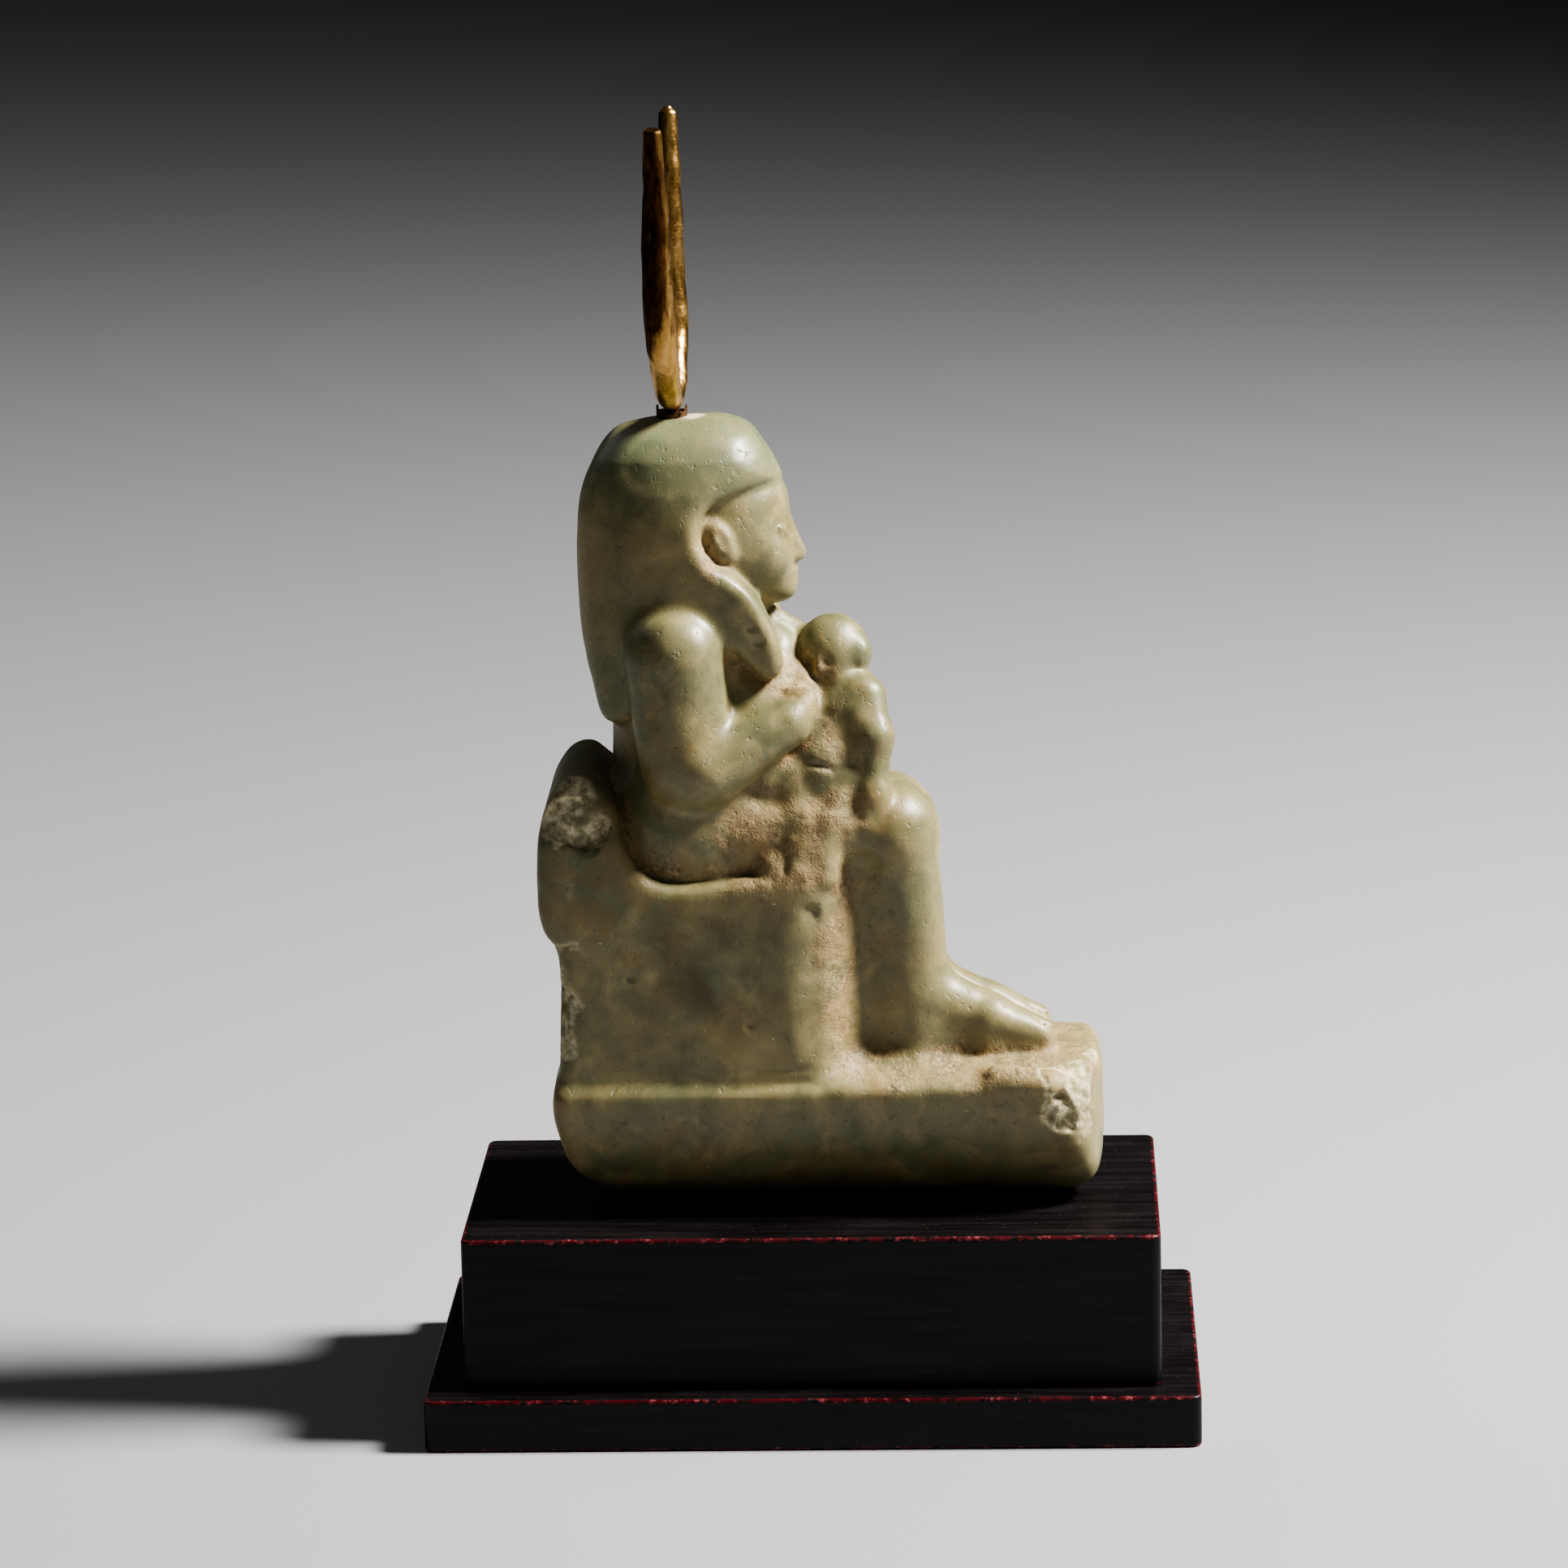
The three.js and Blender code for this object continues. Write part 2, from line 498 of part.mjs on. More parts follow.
// Edge collapse by quadric error, cheapest edge first, down to a number of triangles.
function simplify({ points, faces }, target) {
  const quadrics = points.map(() => new Float64Array(10));
  const around = points.map(() => new Set());
  const alive = faces.map(() => true);
  const plane = (f) => {
    const [p, q, r] = f.map((v) => points[v]);
    const n = cross(minus(q, p), minus(r, p));
    const size = Math.hypot(...n);
    return { n: size ? n.map((x) => x / size) : [0, 0, 0], size, p };
  };
  faces.forEach((f, index) => {
    const { n, size, p } = plane(f);
    const e = [...n, -dot(n, p)];
    let slot = 0;
    const terms = new Float64Array(10);
    for (let i = 0; i < 4; i++) for (let j = i; j < 4; j++) terms[slot++] = e[i] * e[j] * size;
    for (const v of f) {
      around[v].add(index);
      for (let i = 0; i < 10; i++) quadrics[v][i] += terms[i];
    }
  });
  const error = (m, [x, y, z]) =>
    m[0] * x * x + 2 * m[1] * x * y + 2 * m[2] * x * z + 2 * m[3] * x + m[4] * y * y +
    2 * m[5] * y * z + 2 * m[6] * y + m[7] * z * z + 2 * m[8] * z + m[9];
  const best = (m) => {
    const [a, b, c, d, e, f, g, h, k] = [m[0], m[1], m[2], m[3], m[4], m[5], m[6], m[7], m[8]];
    const det = a * (e * h - f * f) - b * (b * h - f * c) + c * (b * f - e * c);
    if (Math.abs(det) < 1e-7) return null;
    const x = -(d * (e * h - f * f) - b * (g * h - f * k) + c * (g * f - e * k)) / det;
    const y = -(a * (g * h - k * f) - d * (b * h - f * c) + c * (b * k - g * c)) / det;
    const z = -(a * (e * k - g * f) - b * (b * k - g * c) + d * (b * f - e * c)) / det;
    return [x, y, z];
  };
  const stamp = new Int32Array(points.length);
  const heap = new Heap();
  const offer = (p, q) => {
    const m = quadrics[p].map((x, i) => x + quadrics[q][i]);
    const middle = points[p].map((x, i) => (x + points[q][i]) / 2);
    const reach = 1.5 * Math.hypot(...minus(points[p], points[q]));
    let place = best(m);
    if (!place || Math.hypot(...minus(place, middle)) > reach) place = middle;
    const length = Math.hypot(...minus(points[p], points[q]));
    const cost = Math.max(error(m, place), 0) + 1e-5 * length ** 3;
    heap.push({ cost, p, q, place, m, mark: stamp[p] + stamp[q] });
  };
  const neighbours = (v) => {
    const found = new Set();
    for (const f of around[v]) for (const w of faces[f]) if (w !== v) found.add(w);
    return found;
  };
  const flips = (v, other, place) => {
    for (const f of around[v]) {
      if (faces[f].includes(other)) continue;
      const old = plane(faces[f]);
      const [p, q, r] = faces[f].map((w) => (w === v ? place : points[w]));
      const n = cross(minus(q, p), minus(r, p));
      const size = Math.hypot(...n);
      if (size < 1e-6 || dot(n, old.n) < 0.25 * size) return true;
    }
    return false;
  };
  const seen = new Set();
  for (const f of faces)
    for (let i = 0; i < 3; i++) {
      const [p, q] = [f[i], f[(i + 1) % 3]].sort((x, y) => x - y);
      const key = p * points.length + q;
      if (!seen.has(key)) offer(p, q);
      seen.add(key);
    }
  let count = faces.length;
  while (count > target && heap.size()) {
    const { p, q, place, m, mark } = heap.pop();
    if (stamp[p] < 0 || stamp[q] < 0 || stamp[p] + stamp[q] !== mark) continue;
    const nearP = neighbours(p);
    const shared = [...neighbours(q)].filter((v) => nearP.has(v));
    if (!nearP.has(q) || shared.length !== 2) continue;
    if (flips(p, q, place) || flips(q, p, place)) continue;
    points[p] = place;
    quadrics[p] = m;
    for (const f of [...around[q]]) {
      if (faces[f].includes(p)) {
        alive[f] = false;
        count--;
        for (const v of faces[f]) around[v].delete(f);
      } else {
        faces[f] = faces[f].map((v) => (v === q ? p : v));
        around[p].add(f);
      }
    }
    stamp[q] = -1e9;
    stamp[p]++;
    for (const v of neighbours(p)) {
      stamp[v]++;
    }
    for (const v of neighbours(p)) offer(Math.min(p, v), Math.max(p, v));
    for (const v of neighbours(p))
      for (const w of neighbours(v)) if (w !== p) offer(Math.min(v, w), Math.max(v, w));
  }
  return { points, faces: faces.filter((f, i) => alive[i]) };
}

const minus = (p, q) => [p[0] - q[0], p[1] - q[1], p[2] - q[2]];
const dot = (p, q) => p[0] * q[0] + p[1] * q[1] + p[2] * q[2];
const cross = (p, q) => [
  p[1] * q[2] - p[2] * q[1], p[2] * q[0] - p[0] * q[2], p[0] * q[1] - p[1] * q[0],
];

// A binary heap of edge collapses, cheapest on top.
class Heap {
  constructor() {
    this.items = [];
  }
  size() {
    return this.items.length;
  }
  push(item) {
    const list = this.items;
    let i = list.length;
    list.push(item);
    while (i > 0) {
      const up = (i - 1) >> 1;
      if (list[up].cost <= item.cost) break;
      list[i] = list[up];
      i = up;
    }
    list[i] = item;
  }
  pop() {
    const list = this.items;
    const top = list[0];
    const item = list.pop();
    if (!list.length) return top;
    let i = 0;
    for (;;) {
      let down = 2 * i + 1;
      if (down >= list.length) break;
      if (down + 1 < list.length && list[down + 1].cost < list[down].cost) down++;
      if (list[down].cost >= item.cost) break;
      list[i] = list[down];
      i = down;
    }
    list[i] = item;
    return top;
  }
}

// Three.js geometry from points and triangles, and to and from a solid.
function geometryOf(points, faces) {
  const geometry = new THREE.BufferGeometry();
  geometry.setAttribute("position", new THREE.Float32BufferAttribute(points.flat(), 3));
  geometry.setIndex(faces.flat());
  return geometry;
}
function solidOf(geometry) {
  const bare = geometry.clone();
  bare.deleteAttribute("normal");
  bare.deleteAttribute("uv");
  const merged = mergeVertices(bare, 1e-4);
  return new wasm.Manifold(new wasm.Mesh({
    numProp: 3,
    vertProperties: merged.attributes.position.array,
    triVerts: new Uint32Array(merged.index.array),
  }));
}
function geometryFrom(solid) {
  const mesh = solid.getMesh();
  const geometry = new THREE.BufferGeometry();
  geometry.setAttribute("position", new THREE.BufferAttribute(mesh.vertProperties, 3));
  geometry.setIndex(new THREE.BufferAttribute(mesh.triVerts, 1));
  geometry.computeVertexNormals();
  return geometry;
}

// The stone figure in the part's own scale, with a round pocket for the socket on the head.
const crownAhead = -19.9;
function headTop() {
  let [inside, outside] = [0.9 * drawnTop, 1.1 * drawnTop];
  while (outside - inside > 0.01) {
    const middle = (inside + outside) / 2;
    if (carving(crownAhead, 0, middle) < 0) inside = middle;
    else outside = middle;
  }
  return inside;
}
const crownY = -crownAhead * SCALE;
const seatHeight = headTop() * SCALE - SOCKET_SUNK;
function figureGeometry() {
  const room = 4.4;
  const grid = [
    gridLines(throneBack - room, baseEnd + room, GRID_BODY),
    gridLines(-baseHalf - room, baseHalf + room, GRID_BODY * 0.9),
    gridLines(-room, drawnTop + room, GRID_BODY, 0.5 * drawnTop, GRID_HEAD),
  ];
  const { points, faces } = simplify(outerSkin(polygonise(carving, grid)), FIGURE_TRIANGLES);
  const skin = points.map(([a, l, u]) => [l * SCALE, -a * SCALE, u * SCALE]);
  const radius = SOCKET_RADIUS + FIT;
  const pocket = new THREE.CylinderGeometry(radius, radius, 10, 24);
  pocket.rotateX(Math.PI / 2);
  pocket.translate(0, crownY, seatHeight + 5);
  return geometryFrom(solidOf(geometryOf(skin, faces)).subtract(solidOf(pocket)));
}

// A closed skin over rings of points, with a flat fan at each end.
function loft(rings) {
  const around = rings[0].length;
  const faces = [];
  for (let i = 0; i + 1 < rings.length; i++)
    for (let j = 0; j < around; j++) {
      const [p, q] = [i * around + j, i * around + ((j + 1) % around)];
      faces.push([p, q, q + around], [p, q + around, p + around]);
    }
  const last = (rings.length - 1) * around;
  for (let j = 1; j + 1 < around; j++) {
    faces.push([0, j + 1, j], [last, last + j, last + j + 1]);
  }
  return geometryOf(rings.flat(), faces);
}

// The horns: one bar bent to a lyre across the head, thickest at its waist and leaning back.
const HORN_SIDES = 12;
const HORN_STEPS = 40;
const hornWidths = [
  [0, HORN_ROOT_WIDTH], [0.22, 0.95 * HORN_WAIST_WIDTH], [0.45, HORN_WAIST_WIDTH],
  [0.72, 0.88 * HORN_WAIST_WIDTH], [0.88, 0.7 * HORN_WAIST_WIDTH], [1, HORN_TIP_WIDTH],
];
function hornsGeometry() {
  const half = HORN_TIP_SPREAD / 2;
  const arm = [
    [1, 1], [0.93, 0.86], [0.87, 0.68], [0.86, 0.5], [0.81, 0.34], [0.68, 0.2], [0.4, 0.085],
  ];
  const place = (side, [out, up]) =>
    new THREE.Vector3(side * out * half, HORN_LEAN * ease(0, 0.5, up), HORN_RISE * up);
  const right = arm.map((at) => place(-1, at));
  const left = arm.map((at) => place(1, at)).reverse();
  const bend = new THREE.Vector3(0, 0, HORN_FLAT * HORN_ROOT_WIDTH * 0.44);
  const path = new THREE.CatmullRomCurve3([...right, bend, ...left]);
  const ring = (t, swell = 1, beyond = 0) => {
    const along = path.getTangentAt(t);
    const at = path.getPointAt(t).addScaledVector(along, beyond);
    const across = new THREE.Vector3(-along.z, 0, along.x).normalize();
    const width = swell * lookUp(Math.abs(2 * t - 1), hornWidths);
    return Array.from({ length: HORN_SIDES }, (_, j) => {
      const turn = (2 * Math.PI * j) / HORN_SIDES;
      const p = at.clone().addScaledVector(across, (Math.sin(turn) * width * HORN_FLAT) / 2);
      p.y += (Math.cos(turn) * width) / 2;
      return p.toArray();
    });
  };
  const rings = Array.from({ length: HORN_STEPS + 1 }, (_, i) => ring(i / HORN_STEPS));
  const cut = ring(0, 0.8, -0.1 * HORN_TIP_WIDTH);
  const dome = ring(1, 0.6, 0.25 * HORN_TIP_WIDTH);
  const floor = new THREE.BoxGeometry(4 * half, 4 * half, 20);
  floor.translate(0, 0, -10);
  return geometryFrom(solidOf(loft([cut, ...rings, dome])).subtract(solidOf(floor)));
}

// The socket: a short round boss with a slot across its top for the bend of the horns.
function socketGeometry() {
  const boss = new THREE.CylinderGeometry(SOCKET_RADIUS, SOCKET_RADIUS, SOCKET_HEIGHT, 32);
  boss.rotateX(Math.PI / 2);
  boss.translate(0, 0, SOCKET_HEIGHT / 2);
  const slot = new THREE.BoxGeometry(
    3 * SOCKET_RADIUS, HORN_ROOT_WIDTH + 2 * FIT, 2 * SLOT_DEPTH);
  slot.translate(0, 0, SOCKET_HEIGHT);
  return geometryFrom(solidOf(boss).subtract(solidOf(slot)));
}

// A lacquered slab with rounded upright corners and softly broken edges.
function slabGeometry(length, width, height) {
  const [x, y, r] = [width / 2 - EDGE_BREAK, length / 2 - EDGE_BREAK, CORNER_RADIUS];
  const plan = new THREE.Shape();
  plan.moveTo(-x + r, -y);
  plan.absarc(x - r, -y + r, r, -Math.PI / 2, 0);
  plan.absarc(x - r, y - r, r, 0, Math.PI / 2);
  plan.absarc(-x + r, y - r, r, Math.PI / 2, Math.PI);
  plan.absarc(-x + r, -y + r, r, Math.PI, 1.5 * Math.PI);
  const slab = new THREE.ExtrudeGeometry(plan, {
    depth: height - 2 * EDGE_BREAK,
    bevelEnabled: true,
    bevelThickness: EDGE_BREAK,
    bevelSize: EDGE_BREAK,
    bevelSegments: 1,
    curveSegments: 4,
  });
  slab.translate(0, 0, EDGE_BREAK);
  return slab;
}

function piece(name, geometry, material, [x, y, z], turn = 0) {
  const mesh = new THREE.Mesh(geometry, material);
  mesh.name = name;
  mesh.position.set(x, y, z);
  mesh.rotation.z = THREE.MathUtils.degToRad(turn);
  return mesh;
}

const stone = new THREE.MeshStandardMaterial({ color: 0x9a9b78, roughness: 0.38 });
const gilt = new THREE.MeshStandardMaterial({ color: 0xa8782f, roughness: 0.36, metalness: 1 });
const copper = new THREE.MeshStandardMaterial({ color: 0x6b4630, roughness: 0.5, metalness: 1 });
const lacquer = new THREE.MeshStandardMaterial({ color: 0x0c0a0c, roughness: 0.4 });

const boardLength = BLOCK_LENGTH + 2 * BOARD_REVEAL_ENDS;
const boardWidth = BLOCK_WIDTH + 2 * BOARD_REVEAL_SIDES;
const standTop = BOARD_HEIGHT + BLOCK_HEIGHT;
const socketFoot = standTop + seatHeight + FIT;
const slotFloor = socketFoot + SOCKET_HEIGHT - SLOT_DEPTH;

const group = new THREE.Group();
group.add(
  piece("stand_board", slabGeometry(boardLength, boardWidth, BOARD_HEIGHT), lacquer, [0, 0, 0]),
  piece("stand_block", slabGeometry(BLOCK_LENGTH, BLOCK_WIDTH, BLOCK_HEIGHT), lacquer,
    [0, 0, BOARD_HEIGHT]),
  piece("isis_and_horus", figureGeometry(), stone, [0, 0, standTop]),
  piece("horn_socket", socketGeometry(), copper, [0, crownY, socketFoot], HORN_TURN),
  piece("cow_horns", hornsGeometry(), gilt, [0, crownY, slotFloor + FIT], HORN_TURN),
);

export default group;
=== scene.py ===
import math

import bmesh
import bpy
import numpy as np
from mathutils import Matrix, Vector


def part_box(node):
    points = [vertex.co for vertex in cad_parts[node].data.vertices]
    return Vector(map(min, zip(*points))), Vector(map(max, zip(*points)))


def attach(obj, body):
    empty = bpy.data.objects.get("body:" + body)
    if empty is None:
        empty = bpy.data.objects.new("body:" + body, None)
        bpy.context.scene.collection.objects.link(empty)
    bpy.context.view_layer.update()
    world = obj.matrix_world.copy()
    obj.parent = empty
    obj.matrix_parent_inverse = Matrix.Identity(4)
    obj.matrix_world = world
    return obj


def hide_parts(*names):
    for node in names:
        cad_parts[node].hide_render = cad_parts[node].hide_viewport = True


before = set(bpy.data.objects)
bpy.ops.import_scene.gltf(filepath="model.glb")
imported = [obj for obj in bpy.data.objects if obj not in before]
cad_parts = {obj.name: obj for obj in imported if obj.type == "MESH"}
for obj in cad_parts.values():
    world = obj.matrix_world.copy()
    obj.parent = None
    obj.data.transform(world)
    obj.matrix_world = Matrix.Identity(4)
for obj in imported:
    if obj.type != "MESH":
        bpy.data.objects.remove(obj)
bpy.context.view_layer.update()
MM = 0.001

# Sizes of the real thing, in millimetres, the same as those of the solids.
BLOCK = (58, 108, 24.25)
BOARD = (68, 120, 8.25)
CORNER_RADIUS = 1.6
EDGE_BREAK = 0.5
STAND_TOP = BOARD[2] + BLOCK[2]
CROWN_AHEAD = -19.9
SOCKET_HEIGHT = 2.4
SLOT_DEPTH = 0.8
FIT = 0.3
HORN_RISE = 44.8
HORN_TIP_SPREAD = 30.5
HORN_ROOT_WIDTH = 3.6
HORN_WAIST_WIDTH = 4.8
HORN_TIP_WIDTH = 2.7
HORN_FLAT = 0.84
HORN_LEAN = 0.8
HORN_TURN = -1.3
SOCKET_SOFTNESS = 0.14

# The hammering of the horns: its depth, and how many facets and waves come to a metre.
DENT_DEPTH = 0.35
DENT_FACETS = 260.0
DENT_WAVES = 150.0

# How the stone is worn, in millimetres. The face is worn less, by this share.
FACE_SHARE = 0.35
WAVE_DEPTH = 0.16
RIPPLE_DEPTH = 0.07
CRUST_RISE = 0.06
CRUST_GRAIN = 0.12
BREAK_STEP = 0.3
BREAK_GRAIN = 0.22
PIT_DEPTH = 0.55

# Where the gilding changes, in metres of the frame: it is rubbed off towards the back of the
# horns, and whole just above their root.
HORN_BACK = (HORN_LEAN - CROWN_AHEAD + 0.6) * MM
HORN_ROOT = 0.158

# Fineness of the carving's skin and of the horns.
GRID = 0.46
STONE_TRIANGLES = 190000
HORN_RINGS = 420
HORN_SIDES = 36
SEED = 7

# The camera, solved from the stand's corners: its place in metres, its turns in degrees, and
# its focal length in pixels of the photograph's frame.
CAMERA_PLACE = (-0.9883, -0.0346, 0.3174)
CAMERA_TURNS = (-2.22, 12.52, -1.12)
FOCAL_PIXELS = 8000
FRAME_PIXELS = 1932
SENSOR = 36

# The studio, in metres. The lamps are all aimed at the middle of the figure.
FLOOR_HALF = 6
LAMP_AIM = (0, 0, 0.1)
WORLD_STRENGTH = 0.05


# Shape functions. A point is (a, l, u): ahead of the figure, to its left, and up from the
# underside of its base, in millimetres. Each gives the distance to the surface, negative inside.
def mix(a, b, t):
    return a + (b - a) * t


def ease(low, high, x):
    t = np.clip((x - low) / (high - low), 0, 1)
    return t * t * (3 - 2 * t)


def join(a, b, k):
    h = np.maximum(k - np.abs(a - b), 0)
    return np.minimum(a, b) - h * h / (4 * k)


def meet(a, b, k):
    return -join(-a, -b, k)


def carve(a, b, k):
    return -join(-a, b, k)


# An ellipsoid. A positive pitch lifts its front.
def egg(centre, radii, pitch=0.0):
    c, s = math.cos(pitch), math.sin(pitch)

    def distance(a, l, u):
        da, dl, du = a - centre[0], l - centre[1], u - centre[2]
        x = (c * da + s * du) / radii[0]
        y = dl / radii[1]
        z = (c * du - s * da) / radii[2]
        near = np.sqrt(x * x + y * y + z * z)
        far = np.sqrt((x / radii[0]) ** 2 + (y / radii[1]) ** 2 + (z / radii[2]) ** 2)
        return near * (near - 1) / np.maximum(far, 1e-6)

    return distance


def ball_at(place, radius):
    return egg(place, (radius, radius, radius))


# A round limb from p to q whose radius runs from rp to rq. Wide stretches it sideways.
def limb(p, q, rp, rq, wide=1.0):
    d = np.array(q, float) - np.array(p, float)
    d[1] /= wide
    square = float(d @ d)

    def distance(a, l, u):
        ea, el, eu = a - p[0], (l - p[1]) / wide, u - p[2]
        t = np.clip((ea * d[0] + el * d[1] + eu * d[2]) / square, 0, 1)
        gap = np.sqrt((ea - t * d[0]) ** 2 + (el - t * d[1]) ** 2 + (eu - t * d[2]) ** 2)
        return gap - mix(rp, rq, t)

    return distance


# A body drawn as level slices. Each station is (up, back, front, half width, squareness).
def slices(stations):
    table = np.array(stations, float)
    low, high = table[0, 0], table[-1, 0]

    def distance(a, l, u):
        at = np.clip(u, low, high)
        i = np.clip(np.searchsorted(table[:, 0], at) - 1, 0, len(table) - 2)
        t = ease(table[i, 0], table[i + 1, 0], at)
        back, front, half, square = (mix(table[i, k], table[i + 1, k], t) for k in range(1, 5))
        deep = (front - back) / 2
        x = np.abs(a - (front + back) / 2) / deep
        y = np.abs(l) / half
        level = (x**square + y**square) ** (1 / square)
        return meet((level - 1) * np.minimum(deep, half), np.maximum(low - u, u - high), 3)

    return distance


# Points of a smooth curve from each p1 to its p2, led by the corners on either side.
def curve_points(p0, p1, p2, p3, steps):
    d0, d1, d2 = (np.sum((q - p) ** 2, 1)[:, None] ** 0.25
                  for p, q in ((p0, p1), (p1, p2), (p2, p3)))
    m1 = ((p1 - p0) / d0 - (p2 - p0) / (d0 + d1) + (p2 - p1) / d1) * d1
    m2 = ((p2 - p1) / d1 - (p3 - p1) / (d1 + d2) + (p3 - p2) / d2) * d1
    cubic = 2 * p1 - 2 * p2 + m1 + m2
    square = -3 * p1 + 3 * p2 - 2 * m1 - m2
    points = [p1 + m1 * t + square * t**2 + cubic * t**3 for t in np.arange(steps) / steps]
    return np.stack(points, 1).reshape(-1, p1.shape[1])


def closed_curve(corners, steps=4):
    p = np.array(corners, float)
    return curve_points(np.roll(p, 1, 0), p, np.roll(p, -1, 0), np.roll(p, -2, 0), steps)


def open_curve(corners, steps=12):
    p = np.array(corners, float)
    p = np.vstack([2 * p[0] - p[1], p, 2 * p[-1] - p[-2]])
    points = curve_points(p[:-3], p[1:-2], p[2:-1], p[3:], steps)
    return np.vstack([points, p[-2]])


# The distance to a closed outline in side view, kept in a table of even steps.
TABLE_LOW = (-52.0, -6.0)
TABLE_STEP = 0.4
TABLE_SIZE = (262, 344)


def outline(corners):
    loop = closed_curve(corners)
    a = (TABLE_LOW[0] + TABLE_STEP * np.arange(TABLE_SIZE[0]))[:, None]
    u = (TABLE_LOW[1] + TABLE_STEP * np.arange(TABLE_SIZE[1]))[None, :]
    best = np.full(TABLE_SIZE, 1e9)
    inside = np.zeros(TABLE_SIZE, bool)
    for p, q in zip(loop, np.roll(loop, -1, 0)):
        e = q - p
        t = np.clip(((a - p[0]) * e[0] + (u - p[1]) * e[1]) / (e @ e), 0, 1)
        best = np.minimum(best, (a - p[0] - t * e[0]) ** 2 + (u - p[1] - t * e[1]) ** 2)
        if p[1] != q[1]:
            crosses = ((p[1] > u) != (q[1] > u)) & (a < e[0] * (u - p[1]) / e[1] + p[0])
            inside ^= crosses
    table = np.sqrt(best) * np.where(inside, -1, 1)

    def distance(a, u):
        x = np.clip((a - TABLE_LOW[0]) / TABLE_STEP, 0, TABLE_SIZE[0] - 1.001)
        y = np.clip((u - TABLE_LOW[1]) / TABLE_STEP, 0, TABLE_SIZE[1] - 1.001)
        i, j = x.astype(int), y.astype(int)
        x, y = x - i, y - j
        near = mix(table[i, j], table[i + 1, j], x)
        return mix(near, mix(table[i, j + 1], table[i + 1, j + 1], x), y)

    return distance


# The base under throne and feet: blunt ends, a crowned top, and a rounded underside.
HULL_RISE = 18
BASE_END = 46.2
BASE_TOP = 24.1
BASE_FALL = 3.4
BASE_HALF_BEHIND = 18.4
BASE_HALF_AHEAD = 17.3
base_outline = outline([
    (-29, -1), (0, -1.4), (34, -1), (41, 0.8), (44.8, 4), (BASE_END, 9), (46.4, 15),
    (46, 20.5), (44.6, 23.4), (41.5, 24.2), (20, 24), (-10, 23.8), (-34, 24), (-38.6, 23),
    (-39.6, 20.6), (-40, 18), (-39.4, 13.5), (-37.6, 7.6), (-34, 3),
])


def base(a, l, u):
    half = mix(BASE_HALF_BEHIND, BASE_HALF_AHEAD, ease(-20, 44, a))
    drop = np.maximum(HULL_RISE - u, 0) / (HULL_RISE + 0.3)
    hull = (np.sqrt((l / half) ** 2 + drop**2) - 1) * 15
    nose = np.where(a > 10, np.sqrt((a - 10.4) ** 2 + l * l) - (BASE_END - 10.2), -9)
    top = u - BASE_TOP + BASE_FALL * ease(9, 19, np.abs(l))
    return meet(meet(meet(base_outline(a, u), hull, 2.4), nose, 3), top, 1.6)


# The throne: a plain block with a low thick back that steps out behind.
THRONE_HALF = 16.8
throne_outline = outline([
    (-38.6, 19), (-38.8, 25), (-38.6, 36), (-38.8, 42.6), (-40.6, 45.4), (-41.4, 48.4),
    (-41.6, 55), (-41.2, 61), (-40, 65.4), (-38, 68.6), (-36, 69.8), (-34, 69.9),
    (-32, 68.4), (-29.6, 65.6), (-28.4, 61), (-26.8, 57), (-24.2, 54), (-20, 52.8),
    (-12, 53.4), (-4, 54.4), (0, 54.2), (1.9, 52.6), (2.3, 49), (2.1, 45), (2.1, 40),
    (2.3, 33), (3.4, 25.5), (4.8, 22), (5, 19),
])


def throne(a, l, u):
    half = THRONE_HALF - 1.4 * ease(56, 70, u)
    corner = mix(2.6, 6.5, ease(-12, -2, a) * ease(54, 46, u))
    return meet(throne_outline(a, u), np.abs(l) - half, corner)


# Torso and hips above the seat.
trunk = slices([
    (50, -30, 2, 13, 2.6), (58, -30.4, 1, 13.4, 2.5), (66, -30.4, -3, 12.6, 2.4),
    (74, -30.2, -5, 11.4, 2.3), (82, -29.8, -4, 12.4, 2.3), (90, -28.4, -7.6, 13, 2.3),
    (95.5, -25, -11, 10, 2.2),
])
hip = egg((-18.4, 8.4, 60.6), (11.4, 6.9, 11))
side_chest = egg((-7.4, 7.2, 77.4), (6.4, 5.6, 6.2))
breast = egg((-5.4, 4.6, 82.6), (4.4, 4.6, 4.6))
chest = egg((-4.6, 0.4, 86), (4.2, 6, 5))
neck = limb((-13, 0, 88), (-11.6, 0, 99), 6.8, 6.2)


def torso(a, l, u):
    side = np.abs(l)
    front = join(breast(a, side, u), chest(a, l, u), 2)
    front = join(front, side_chest(a, side, u), 3)
    body = join(trunk(a, l, u), hip(a, side, u), 3)
    return join(join(body, front, 3), neck(a, l, u), 4)


# Thighs, shins and feet of both legs, side by side under a tight dress.
thigh = limb((-14, 6.4, 58.6), (11.6, 5.6, 58.4), 7.6, 7.1)
lap = limb((-9, 8, 60.6), (4, 8, 60), 5.6, 5.6)
shin = limb((12.6, 5.4, 58.4), (15.4, 4.8, 31), 7.1, 6.3, 0.94)
between = limb((12.6, -4.6, 58.6), (12.6, 4.6, 58), 7.2, 7.1)
shin_groove = limb((22.2, 0, 50), (22.8, 0, 33), 0.5, 1)
instep = limb((17.2, 5, 31.4), (27.6, 5.6, 27.8), 5.9, 4.4, 0.94)
foot = limb((27.6, 5.6, 27.8), (36, 6.2, 25.4), 4.4, 2.7, 1.1)
heel = egg((15.4, 5.6, 26.4), (4.4, 4.6, 4.6))
toe_grooves = [limb((33.4, 2.6 + 1.6 * i, 28.8), (38.8, 2.9 + 1.75 * i, 25.9), 0.1, 0.36)
               for i in range(1, 5)]


